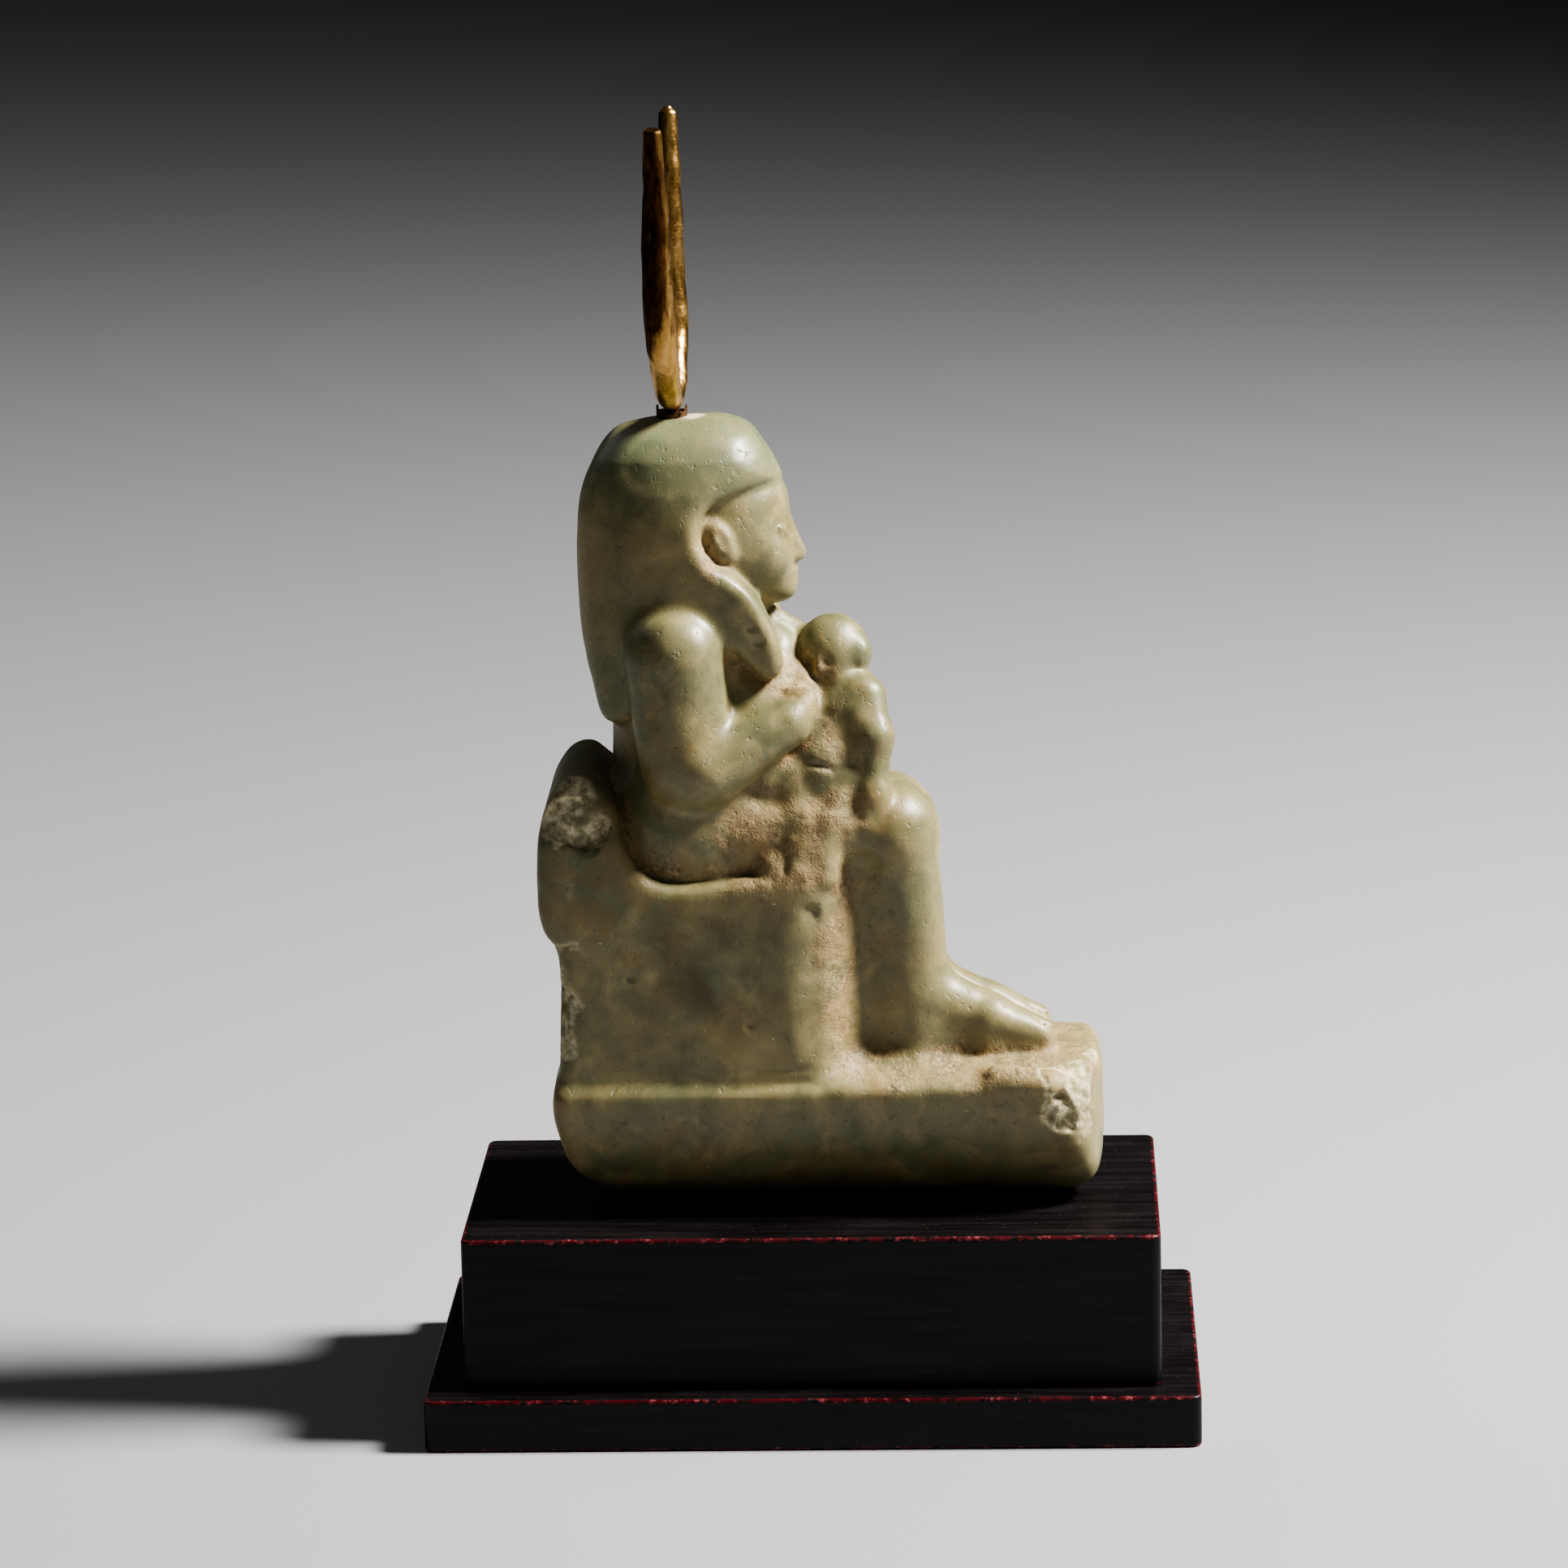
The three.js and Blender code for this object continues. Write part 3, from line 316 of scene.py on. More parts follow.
def legs(a, l, u):
    side = np.abs(l)
    a, u = a + 0.05 * l, u + 0.06 * l
    wedge = side - mix(15, 9.4, ease(1, 9.4, a))
    web = meet(np.abs(a - 5) - 9, meet(wedge, np.abs(u - 38) - 20, 3), 3)
    skirt = join(join(thigh(a, side, u), shin(a, side, u), 3), between(a, l, u), 2)
    skirt = join(skirt, lap(a, side, u), 2)
    skirt = join(carve(skirt, shin_groove(a, l, u), 1.6), web, 3)
    ridge = np.interp(a, [17.2, 27.6, 35.2], [30.2, 26.8, 25])
    flat = np.maximum(u, ridge)
    feet = join(join(instep(a, side, flat), foot(a, side, flat), 1), heel(a, side, u), 3)
    feet = meet(feet, a + 0.34 * side - 40.2, 1.6)
    for groove in toe_grooves:
        feet = carve(feet, groove(a, side, u), 0.5)
    return join(skirt, np.maximum(feet, 20 - u), 2.4)


# A fine groove under the throne's side, where it meets the base.
foot_line = limb((-34, 17.3, 23.4), (2.4, 17, 23.6), 0.32, 0.4)

# The deep top of the hollow between the throne's front corner and the knee, on each side.
leg_hollow = limb((8.8, 13.2, 54.4), (8.8, 14.8, 46.6), 2.6, 1.6)


# Arms: the right hand is raised to the breast, the left forearm is under the child.
upper_arm = limb((-19.8, 12.4, 88.2), (-18.2, 12.6, 71.6), 7.7, 7.2, 0.92)
right_forearm = limb((-14.8, -13.2, 70.8), (-2.6, -11.6, 77.4), 6.2, 3.6)
right_hand = egg((-0.6, -9.9, 79.6), (3.1, 2.6, 2.3), 0.9)
left_forearm = limb((-14.8, 13.2, 70.8), (2.6, 9.8, 75), 6, 4.2)
left_hand = egg((5.6, 6.8, 77.6), (4.6, 3.4, 3.6), 0.4)
fingers = [limb((-1.8 + 0.7 * i, -9.4, 81.8 - 0.9 * i), (0.4 + 0.5 * i, -7, 82.5 - 1.1 * i),
                0.8, 0.7) for i in range(4)]


def arms(a, l, u):
    right = join(right_forearm(a, l, u), right_hand(a, l, u), 2)
    for finger in fingers:
        right = join(right, finger(a, l, u), 0.9)
    left = join(left_forearm(a, l, u), left_hand(a, l, u), 2)
    return join(upper_arm(a, np.abs(l), u), join(right, left, 1), 2.4)


# The long plain wig, cut back round the face, with a lappet before each shoulder.
wig_outline = outline([
    (-12, 123.8), (-8.6, 122.4), (-5.6, 119), (-3.6, 115.8), (-3, 114), (-6.4, 113.4),
    (-11, 112.2), (-14.6, 110), (-15.6, 106), (-13.8, 102.6), (-10.6, 100.6), (-7.8, 98.2),
    (-5.4, 94), (-3.8, 90), (-3.2, 86.6), (-4.2, 84.6), (-6, 84.4), (-8.6, 86.6), (-11.4, 89.6),
    (-14.6, 92.4), (-18, 93.4), (-22, 89), (-26, 81), (-28.4, 77.2), (-31, 77.8), (-32.6, 82),
    (-34.2, 90), (-34.9, 99.6), (-34.8, 107.4), (-33.8, 113.6), (-31.6, 118.4), (-28.8, 121.6),
    (-24, 123.1), (-18, 123.6),
])
WIG_MIDDLE = -17.6
WIG_AHEAD = 14.9
WIG_BEHIND = 18.2
WIG_UP = [76, 84, 92, 100, 108, 113, 118, 121.5, 124.4]
WIG_HALF = [12, 13, 13.8, 14.2, 13.9, 13, 11.2, 8.8, 5]
throat = limb((-2.6, 0, 99), (-4.6, 0, 80), 5, 5.2, 1.25)


def wig(a, l, u):
    front = np.abs((np.maximum(a, WIG_MIDDLE) - WIG_MIDDLE) / WIG_AHEAD) ** 2.3
    rear = np.abs((np.minimum(a, WIG_MIDDLE) - WIG_MIDDLE) / WIG_BEHIND) ** 2.2
    dome = np.clip(1 - front, 0.03, 1) ** 0.47
    plan = mix(1, dome, ease(98, 106, u)) * np.clip(1 - rear, 0.02, 1) ** 0.45
    half = np.interp(u, WIG_UP, WIG_HALF) * plan
    edge = mix(2.2, 5, ease(106, 118, u))
    return carve(meet(wig_outline(a, u), np.abs(l) - half, edge), throat(a, l, u), 2)


# The head inside the wig. The face is drawn on plain thirds between hairline and chin.
CHIN = 94.8
HAIRLINE = 113.6
THIRD = (HAIRLINE - CHIN) / 3
NOSE_BASE = CHIN + THIRD
BROW = CHIN + 2 * THIRD
EYE = BROW - 0.2 * THIRD
MOUTH = CHIN + 0.62 * THIRD
skull = egg((-12.4, 0, 106.6), (10.4, 10.2, 10))
forehead = egg((-12, 0, 111), (9.5, 8.9, 6))
jaw = egg((-9.8, 0, 100.4), (8.2, 7.8, 6.6))
chin = egg((-3.8, 0, CHIN + 1.8), (2.6, 2.9, 2))
cheek = egg((-5.6, 4.4, NOSE_BASE + 1.4), (3.2, 3, 3.2))
socket = egg((-0.8, 3.9, EYE), (2, 2.6, 1.2))
eyeball = egg((-3.7, 3.8, EYE), (1.6, 2.1, 1))
lids = [limb((-2.2, 2, EYE + 0.85), (-3.3, 5.9, EYE + 0.7), 0.38, 0.32),
        limb((-2.4, 2.1, EYE - 0.8), (-3.3, 5.7, EYE - 0.6), 0.3, 0.26)]
nose = limb((-2.7, 0, BROW - 0.4), (-0.9, 0, NOSE_BASE + 1), 1, 1.35)
nostril = egg((-1.7, 1.15, NOSE_BASE + 0.6), (1.3, 0.8, 0.8))
upper_lip = egg((-2.6, 0, MOUTH + 0.65), (1.8, 3, 0.8))
lower_lip = egg((-2.7, 0, MOUTH - 0.75), (1.7, 2.5, 0.85))
ear = egg((-12.4, 10, 105.6), (1.9, 1.6, 3.7), 0.5)
ear_bowl = egg((-11.8, 11.9, 106), (0.8, 0.8, 1.9), 0.5)


def face(a, l, u):
    side = np.abs(l)
    d = join(join(skull(a, l, u), jaw(a, l, u), 4), chin(a, l, u), 3)
    d = join(d, forehead(a, l, u), 2)
    d = join(d, cheek(a, side, u), 2.5)
    d = carve(d, socket(a, side, u), 1.2)
    d = join(d, eyeball(a, side, u), 0.4)
    for lid in lids:
        d = join(d, lid(a, side, u), 0.3)
    d = join(d, nose(a, l, u), 1)
    d = join(d, nostril(a, side, u), 0.5)
    d = join(d, join(upper_lip(a, l, u), lower_lip(a, l, u), 0.3), 0.7)
    return join(d, carve(ear(a, side, u), ear_bowl(a, side, u), 0.8), 1.2)


# The child sits across the lap and faces its near side, with his shins over the near thigh.
child_parts = [
    (egg((2.6, -2.4, 70.6), (10.2, 8, 12.6)), 1),
    (limb((6.8, -3.4, 79.6), (4.6, -4.4, 67), 5, 6), 1.5),
    (egg((-1.4, -3.4, 81), (3.8, 4.4, 5)), 1.5),
    (limb((0.4, 4.2, 67), (0.6, 3.6, 79.6), 5.4, 4.6), 2),
    (limb((-6, 1.6, 92.4), (-0.6, 1.2, 88.6), 1.5, 2), 1.5),
    (egg((4.3, -0.4, 86.6), (5.6, 5.8, 5.7)), 0.8),
    (egg((8.6, -2.8, 86.5), (1.7, 2.2, 2.4)), 1.5),
    (egg((6.4, -5.4, 79), (4.4, 3.6, 2.8)), 1),
    (egg((3, -5.4, 72.2), (6.4, 5.4, 4)), 1),
    (limb((9.6, -5.6, 80.2), (10.8, -8.2, 74.4), 2.9, 2.5), 1.6),
    (limb((10.8, -8.2, 74.4), (10.2, -9.8, 65.6), 2.5, 2.5), 2),
    (limb((10.2, -9.8, 65.6), (9.4, -10.8, 61), 2.5, 2.2), 2),
    (limb((8.4, -7.4, 77), (8.2, -8.3, 67), 2.4, 2.6), 1.5),
    (limb((2, -7.6, 68.6), (0.4, -8.6, 55.6), 4.2, 4), 3),
    (egg((-6, -8.4, 67.6), (4, 4, 5)), 3),
    (limb((-5, -12.6, 55), (1.4, -12.4, 55), 3, 2.8), 3),
    (limb((6.2, -8.6, 67.6), (3, -11.6, 61), 2.9, 2.5), 1.6),
    (limb((3, -11.6, 61), (2.8, -13.8, 53.6), 2.5, 2), 1.6),
    (limb((-2.4, -8.8, 68.4), (-0.9, -11.2, 61.4), 2.9, 2.6), 1.8),
    (limb((-0.9, -11.2, 61.4), (-0.7, -13.6, 55), 2.6, 2.2), 1.6),
]
fold = limb((-3.3, -14.4, 60.6), (-3.3, -16, 54.8), 0.3, 0.42)
under_head = limb((1.4, -9.6, 79.6), (8, -6.6, 84), 0.7, 0.6)
belly_line = [limb((0, -11.5, 71.2), (4.6, -11.8, 70), 0.3, 0.4),
              limb((4.6, -11.8, 70), (7.8, -11, 70.9), 0.4, 0.3)]

# His face is plain and calm too, turned out from the breast. Its places are measured from the
# middle of his head.
HEAD = np.array([4.3, -0.4, 86.6])
LOOK = np.array([-0.36, -0.92, -0.15])
LOOK /= np.linalg.norm(LOOK)
HEAD_UP = np.array([-0.16, 0, 1])
HEAD_UP = HEAD_UP - LOOK * (HEAD_UP @ LOOK)
HEAD_UP /= np.linalg.norm(HEAD_UP)
ASIDE = np.cross(LOOK, HEAD_UP)


def on_head(out, aside, up):
    return tuple(HEAD + LOOK * out + ASIDE * aside + HEAD_UP * up)


child_face = [
    (ball_at(on_head(2.6, 0, -2.2), 3.6), 1.5),
    (limb(on_head(5.4, 0, 0.9), on_head(6.2, 0, -1.2), 0.35, 0.62), 0.5),
    (limb(on_head(5.1, -0.75, -2.35), on_head(5.1, 0.75, -2.35), 0.5, 0.5), 0.4),
    (limb(on_head(5, -0.6, -3), on_head(5, 0.6, -3), 0.5, 0.5), 0.3),
    (ball_at(on_head(4.3, 0, -4.2), 1.1), 0.8),
]
child_sockets = [ball_at(on_head(6.1, s * 1.75, 0.2), 0.95) for s in (-1, 1)]
child_eyes = [ball_at(on_head(4.55, s * 1.75, 0.15), 0.95) for s in (-1, 1)]


def child(a, l, u):
    d = np.full(np.shape(a), 99.0)
    for part, k in child_parts:
        d = join(d, part(a, l, u), k)
    for line in [*belly_line, under_head]:
        d = carve(d, line(a, l, u), 0.7)
    for part, k in child_face:
        d = join(d, part(a, l, u), k)
    for hollow in child_sockets:
        d = carve(d, hollow(a, l, u), 0.6)
    for eye in child_eyes:
        d = join(d, eye(a, l, u), 0.25)
    return d


CUBE = [(c & 1, (c >> 1) & 1, c >> 2) for c in range(8)]
LATTICE_SIZE = 48
LATTICE = np.random.default_rng(SEED).random((LATTICE_SIZE,) * 3) * 2 - 1


# Smooth seeded unevenness between -1 and 1, with bumps about as wide as the size given.
def lumps(a, l, u, size):
    x = np.stack([a, l, u]) / size + 2 * LATTICE_SIZE
    cell = np.floor(x).astype(int)
    f = x - cell
    f = f * f * (3 - 2 * f)
    total = 0
    for corner in CUBE:
        at = [(cell[k] + corner[k]) % LATTICE_SIZE for k in range(3)]
        share = np.prod([f[k] if corner[k] else 1 - f[k] for k in range(3)], 0)
        total += share * LATTICE[at[0], at[1], at[2]]
    return total


def grit(a, l, u, size, octaves=3):
    return sum(lumps(a + 7 * i, l - 5 * i, u + 3 * i, size / 2**i) / 1.8**i
               for i in range(octaves))


# Old breaks. A flake is a shallow bite out of an edge: inside a ball, outside a slanting plane.
def flake(place, facing, radius):
    n = np.array(facing, float) / np.linalg.norm(facing)
    far = sum(n[k] * place[k] for k in range(3))
    ball = ball_at(place, radius)

    def distance(a, l, u):
        return np.maximum(far - n[0] * a - n[1] * l - n[2] * u, ball(a, l, u))

    return distance


flakes = [flake(*row) for row in (
    ((-35.4, -15.5, 67.4), (-0.1, -0.75, 0.65), 5.2),
    ((-36.6, -15.9, 62.6), (-0.35, -0.9, 0.25), 4.2),
    ((-33.6, -15.9, 62), (0.25, -0.9, -0.2), 3),
    ((41.2, -14.9, 20.6), (0.35, -0.72, 0.6), 6),
    ((43.4, -14.6, 15.2), (0.62, -0.76, 0.12), 5.2),
    ((38.8, -16.4, 16.6), (0.1, -0.98, -0.1), 3.4),
    ((44.4, -6, 22.8), (0.6, -0.2, 0.76), 3.6),
    ((38.6, 15.6, 21.4), (0.3, 0.6, 0.74), 5),
    ((-38, 14.6, 30), (-0.8, 0.6, 0.05), 5),
    ((-37.2, -15.6, 31), (-0.7, -0.7, 0.1), 5.6),
    ((-37.6, -15.8, 39), (-0.6, -0.8, -0.05), 5),
)]
nub = limb((29, -15.2, 21.6), (36.8, -15.9, 20.6), 1.6, 2.1)
nub_notch = egg((38.9, -18, 18.9), (1.3, 2, 1))
corner_chip = flake((0.4, -15.8, 48.2), (0.55, -0.8, 0.1), 1.4)


# The larger flakes broke roughly.
def rough_break(a, l, u):
    bites = np.minimum.reduce([bite(a, l, u) for bite in flakes])
    return bites + 0.9 * lumps(a, l, u, 4.2) + 0.5 * lumps(a, l, u, 1.9)


def carving(a, l, u):
    d = join(throne(a, l, u), torso(a, l, u), 0.6)
    d = join(d, legs(a, l, u), mix(1, 2.4, ease(-14, -6, a)))
    d = carve(d, leg_hollow(a, np.abs(l), u), 2)
    d = join(d, base(a, l, u), mix(1, 4, ease(0, 7, a) * ease(26, 14, a)))
    d = join(d, arms(a, l, u), 1.6)
    d = join(d, child(a, l, u), 1.2)
    d = carve(d, fold(a, l, u), 0.4)
    d = carve(d, foot_line(a, np.abs(l), u), 0.5)
    d = join(d, face(a, l, u), 1)
    d = join(d, wig(a, l, u), mix(0.8, 2, ease(-8, -11, a) * ease(111, 108, u)))
    d = carve(d, rough_break(a, l, u), 0.5)
    d = carve(d, corner_chip(a, l, u), 0.5)
    d = carve(join(d, nub(a, l, u), 2.6), nub_notch(a, l, u), 0.6)
    return np.maximum(d, -u)


# The carving's skin: the field is worked out on a coarse grid, then finely near the surface, and
# every fine cell that the surface passes through gives one point of the skin.
COARSE = 4
NEAR_BLOCKS = 1.6
BATCH = 400000
PINCH_ROUNDS = 30
JUST_INSIDE = -0.02
SPAN = ((-47, 51), (-21.5, 21.5), (-2.5, 127.5))


def sampled(field):
    sizes = [int(math.ceil((high - low) / GRID / COARSE)) for low, high in SPAN]
    lows = np.array([low for low, _ in SPAN], float)
    block = GRID * COARSE
    middles = [lows[k] + block * (np.arange(sizes[k]) + 0.5) - GRID / 2 for k in range(3)]
    coarse = field(*np.meshgrid(*middles, indexing="ij"))
    values = np.repeat(np.repeat(np.repeat(coarse, COARSE, 0), COARSE, 1), COARSE, 2)
    values = values.astype(np.float32)
    near = np.argwhere(np.abs(coarse) < NEAR_BLOCKS * block)
    steps = np.stack(np.meshgrid(*[np.arange(COARSE)] * 3, indexing="ij"), -1).reshape(-1, 3)
    at = (near[:, None, :] * COARSE + steps[None]).reshape(-1, 3)
    for part in np.array_split(at, max(1, len(at) // BATCH)):
        a, l, u = (lows + part * GRID).T
        values[part[:, 0], part[:, 1], part[:, 2]] = field(a, l, u)
    return values, lows


# Whether the corners of a cell that a mask marks hang together along its edges.
def hangs_together(mask):
    if mask == 0:
        return True
    corners = [c for c in range(8) if mask >> c & 1]
    reached, todo = set(), [corners[0]]
    while todo:
        c = todo.pop()
        reached.add(c)
        todo += [c ^ bit for bit in (1, 2, 4) if mask >> (c ^ bit) & 1 and c ^ bit not in reached]
    return len(reached) == len(corners)


# One bit for each corner of each cell that is inside.
def cell_masks(values):
    inside = values < 0
    shape = [n - 1 for n in values.shape]
    mask = np.zeros(shape, np.uint8)
    for c, (x, y, z) in enumerate(CUBE):
        corner = inside[x:x + shape[0], y:y + shape[1], z:z + shape[2]]
        mask |= corner.astype(np.uint8) << c
    return mask


# Fills pinched cells corner by corner, so the skin closes round a true solid.
def fill_pinches(values):
    plain = np.array([hangs_together(m) and hangs_together(255 - m) for m in range(256)])
    for _ in range(PINCH_ROUNDS):
        mask = cell_masks(values)
        bad = np.argwhere(~plain[mask])
        if not len(bad):
            return mask
        spots = bad[:, None, :] + np.array(CUBE)[None]
        found = values[spots[..., 0], spots[..., 1], spots[..., 2]]
        least = np.argmin(np.where(found >= 0, found, 1e9), 1)
        i, j, k = spots[np.arange(len(bad)), least].T
        values[i, j, k] = JUST_INSIDE
    return cell_masks(values)


def skin(field):
    values, lows = sampled(field)
    mask = fill_pinches(values)
    cells = np.argwhere((mask > 0) & (mask < 255))
    number = np.full(mask.shape, -1, np.int32)
    number[cells[:, 0], cells[:, 1], cells[:, 2]] = np.arange(len(cells))
    spots = cells[:, None, :] + np.array(CUBE)[None]
    v = values[spots[..., 0], spots[..., 1], spots[..., 2]]
    total = np.zeros((len(cells), 3))
    hits = np.zeros(len(cells))
    for p in range(8):
        for bit in (1, 2, 4):
            if p & bit:
                continue
            q = p | bit
            crossed = (v[:, p] < 0) != (v[:, q] < 0)
            t = np.where(crossed, v[:, p] / np.where(crossed, v[:, p] - v[:, q], 1), 0)
            point = mix(np.array(CUBE[p], float), np.array(CUBE[q], float), t[:, None])
            total += point * crossed[:, None]
            hits += crossed
    points = lows + (cells + total / hits[:, None]) * GRID
    quads = []
    inside = values < 0
    for axis in range(3):
        one, two = [k for k in range(3) if k != axis]
        ahead = [slice(1, -1)] * 3
        ahead[axis] = slice(2, None)
        here = inside[1:-1, 1:-1, 1:-1]
        edge = np.argwhere(here != inside[tuple(ahead)]) + 1
        solid = inside[edge[:, 0], edge[:, 1], edge[:, 2]]
        ring = []
        for back_one, back_two in ((1, 1), (0, 1), (0, 0), (1, 0)):
            cell = edge.copy()
            cell[:, one] -= back_one
            cell[:, two] -= back_two
            ring.append(number[cell[:, 0], cell[:, 1], cell[:, 2]])
        quad = np.stack(ring, 1)
        turn = solid if axis != 1 else ~solid
        quads.append(np.where(turn[:, None], quad, quad[:, ::-1]))
    return points, np.concatenate(quads)


# The one connected skin that holds the farthest point ahead, without bubbles inside the stone.
def outer_skin(points, quads):
    leader = np.arange(len(points))
    while True:
        least = np.minimum.reduce([leader[quads[:, k]] for k in range(4)])
        before = leader.copy()
        for k in range(4):
            np.minimum.at(leader, quads[:, k], least)
        leader = leader[leader]
        if np.array_equal(before, leader):
            break
    kept = leader[quads[:, 0]] == leader[np.argmax(points[:, 0])]
    quads = quads[kept]
    used = np.unique(quads)
    renumber = np.zeros(len(points), int)
    renumber[used] = np.arange(len(used))
    return points[used], renumber[quads]


def linked(name, data):
    thing = bpy.data.objects.new(name, data)
    bpy.context.collection.objects.link(thing)
    return thing


# A mesh from points and from faces that all have the same number of corners.
def new_piece(name, points, faces):
    mesh = bpy.data.meshes.new(name)
    faces = np.asarray(faces)
    mesh.vertices.add(len(points))
    mesh.vertices.foreach_set("co", np.asarray(points, np.float32).ravel())
    mesh.loops.add(faces.size)
    mesh.loops.foreach_set("vertex_index", faces.astype(np.int32).ravel())
    mesh.polygons.add(len(faces))
    mesh.polygons.foreach_set("loop_start", np.arange(len(faces), dtype=np.int32) * faces.shape[1])
    mesh.update(calc_edges=True)
    mesh.validate()
    return linked(name, mesh)


# Turns the modifiers' result into the piece's own plain mesh.
def settle(piece):
    depsgraph = bpy.context.evaluated_depsgraph_get()
    mesh = bpy.data.meshes.new_from_object(piece.evaluated_get(depsgraph), depsgraph=depsgraph)
    piece.modifiers.clear()
    piece.data = mesh
    mesh.name = piece.name


def smooth(piece):
    piece.data.polygons.foreach_set("use_smooth", [True] * len(piece.data.polygons))
    piece.data.update()


def vertex_arrays(mesh):
    co, normal = np.empty((2, len(mesh.vertices) * 3), np.float32)
    mesh.vertices.foreach_get("co", co)
    mesh.vertex_normals.foreach_get("vector", normal)
    return co.reshape(-1, 3).astype(float), normal.reshape(-1, 3).astype(float)


# Between the drawing of the carving, in millimetres, and the frame, in metres.
def to_frame(points):
    return np.stack([points[:, 1], -points[:, 0], points[:, 2] + STAND_TOP], 1) * MM


def to_drawing(points):
    points = points / MM
    return -points[:, 1], points[:, 0], points[:, 2] - STAND_TOP


# Keeps one number for each point of a mesh, for its finish to read.
def keep(mesh, name, values):
    layer = mesh.attributes.new(name, "FLOAT", "POINT")
    layer.data.foreach_set("value", np.asarray(values, np.float32))


# How shut in each point of the carving is, from 0 in the open to 1 in a deep hollow, felt for
# over a near and a far reach in millimetres.
NEAR_REACH = 1.2
FAR_REACH = 4


def shelter(a, l, u, normal, reach):
    out = carving(a - normal[:, 1] * reach, l + normal[:, 0] * reach, u + normal[:, 2] * reach)
    return np.clip(1 - out / reach, 0, 1)


# Where the burial crust still clings, as the middle and radii of each patch.
crusts = [egg(*row) for row in (
    ((-0.4, -9, 83.6), (4.4, 6, 5)),
    ((1, -11, 78.6), (6, 3, 3.4)),
    ((8.6, -9, 71), (1.4, 3, 5)),
    ((5, -13, 64), (5, 3, 3)),
    ((-7.6, -14, 60.4), (6.4, 5.6, 7.4)),
    ((1, -13.6, 58), (1.4, 4, 8)),
    ((-4, -15, 53.6), (9, 4, 2.6)),
    ((2.4, -10.6, 73), (5.4, 3.2, 4)),
    ((-18, 0, 55), (12, 20, 3)),
    *(((5, 13.6 * side, 40), (3.6, 5.4, 18)) for side in (-1, 1)),
    *(((-14, 12 * side, 105), (2, 3, 5)) for side in (-1, 1)),
    *(((26, 10 * side, 23), (24, 12, 2.6)) for side in (-1, 1)),
)]

# Single pits, as (ahead, left, up, size).
pits = [(-26.6, -14.6, 116, 0.9), (-24.2, -14.8, 113.4, 0.7), (-25.6, -14.9, 110.6, 0.8),
        (-7.8, -14.2, 92.6, 0.7), (-6.6, -14, 90.4, 0.9), (-15.2, -17.6, 68.6, 0.8),
        (-20.8, -15, 118.6, 0.6), (-13.4, -20, 79, 0.5), (-24.8, -19.6, 74.4, 0.6),
        (15.6, -12.8, 47.6, 0.6), (-27.4, -16.8, 38.4, 0.8), (-9, -17, 30.8, 0.7),
        (-26, 14.8, 104, 0.9), (-30.6, 12, 96, 0.7), (-20, 15.6, 114, 0.6)]

# A dab of pale filler at the foot of the socket, in front.
socket_filler = egg((-16.6, -0.8, 123.6), (1.6, 1.8, 1.4))


def crusted(a, l, u):
    near = np.minimum.reduce([patch(a, l, u) for patch in crusts])
    return ease(2.6, -2.4, near + 1.4 * grit(a, l, u, 3.4) + 1.6 * lumps(a, l, u, 7))


# How far the surface is worn in or built up, and how broken and how crusted it is. Where the
# stone broke it came off in low steps.
def weathered(a, l, u):
    calm = mix(FACE_SHARE, 1, ease(10.5, 14, np.sqrt((a + 5) ** 2 + l * l + (u - 104) ** 2)))
    broken = ease(0.55, 0.1, np.abs(rough_break(a, l, u)))
    crust = crusted(a, l, u)
    push = calm * (WAVE_DEPTH * lumps(a, l, u, 6.5) + RIPPLE_DEPTH * lumps(a, l, u, 2.6))
    push += crust * (CRUST_GRAIN * grit(a, l, u, 1.7, 2) + CRUST_RISE) * calm
    rise = 3.2 * (lumps(a + 0.6 * u, l, u - 0.5 * a, 5) + 0.35 * lumps(a, l, u, 2)) + 0.3 * a
    step = np.floor(rise)
    layer = step + ease(0.6, 1, rise - step) - rise
    push += broken * (BREAK_STEP * layer + BREAK_GRAIN * lumps(a, l, u, 1.1))
    for pit in pits:
        away = (a - pit[0]) ** 2 + 0.6 * (l - pit[1]) ** 2 + (u - pit[2]) ** 2
        push -= PIT_DEPTH * pit[3] * np.exp(-away / pit[3] ** 2)
    return push * np.where(u < 0.3, 0, 1), broken, crust


def carve_stone():
    points, quads = outer_skin(*skin(carving))
    piece = new_piece("isis_and_horus_stone", to_frame(points), quads)
    co, normal = vertex_arrays(piece.data)
    push = weathered(*to_drawing(co))[0]
    worn = co + normal * push[:, None] * MM
    piece.data.vertices.foreach_set("co", worn.astype(np.float32).ravel())
    piece.data.update()
    if 2 * len(quads) > STONE_TRIANGLES:
        thin = piece.modifiers.new("thin", "DECIMATE")
        thin.ratio = STONE_TRIANGLES / (2 * len(quads))
        settle(piece)
    smooth(piece)
    co, normal = vertex_arrays(piece.data)
    a, l, u = to_drawing(co)
    hollow = 0.5 * shelter(a, l, u, normal, NEAR_REACH) + 0.5 * shelter(a, l, u, normal, FAR_REACH)
    _, broken, crust = weathered(a, l, u)
    filler = ease(0.5, -0.3, socket_filler(a, l, u) + 0.5 * lumps(a, l, u, 1.6))
    # Darker clouds on the upright faces of the throne, behind its front edge.
    upright = ease(0.6, 0.9, np.abs(normal[:, 1]) + np.abs(normal[:, 0]))
    side = ease(58, 50, u) * ease(20, 26, u) * upright
    cloud = grit(a + 0.6 * u, l, u - 0.4 * a, 11, 4)
    blotches = side * ease(-0.2, 0.8, cloud) * ease(3, -8, a)
    kept = {"hollow": hollow, "broken": broken, "crust": crust, "filler": filler, "blotches": blotches}
    for name, values in kept.items():
        keep(piece.data, name, values)
    return piece


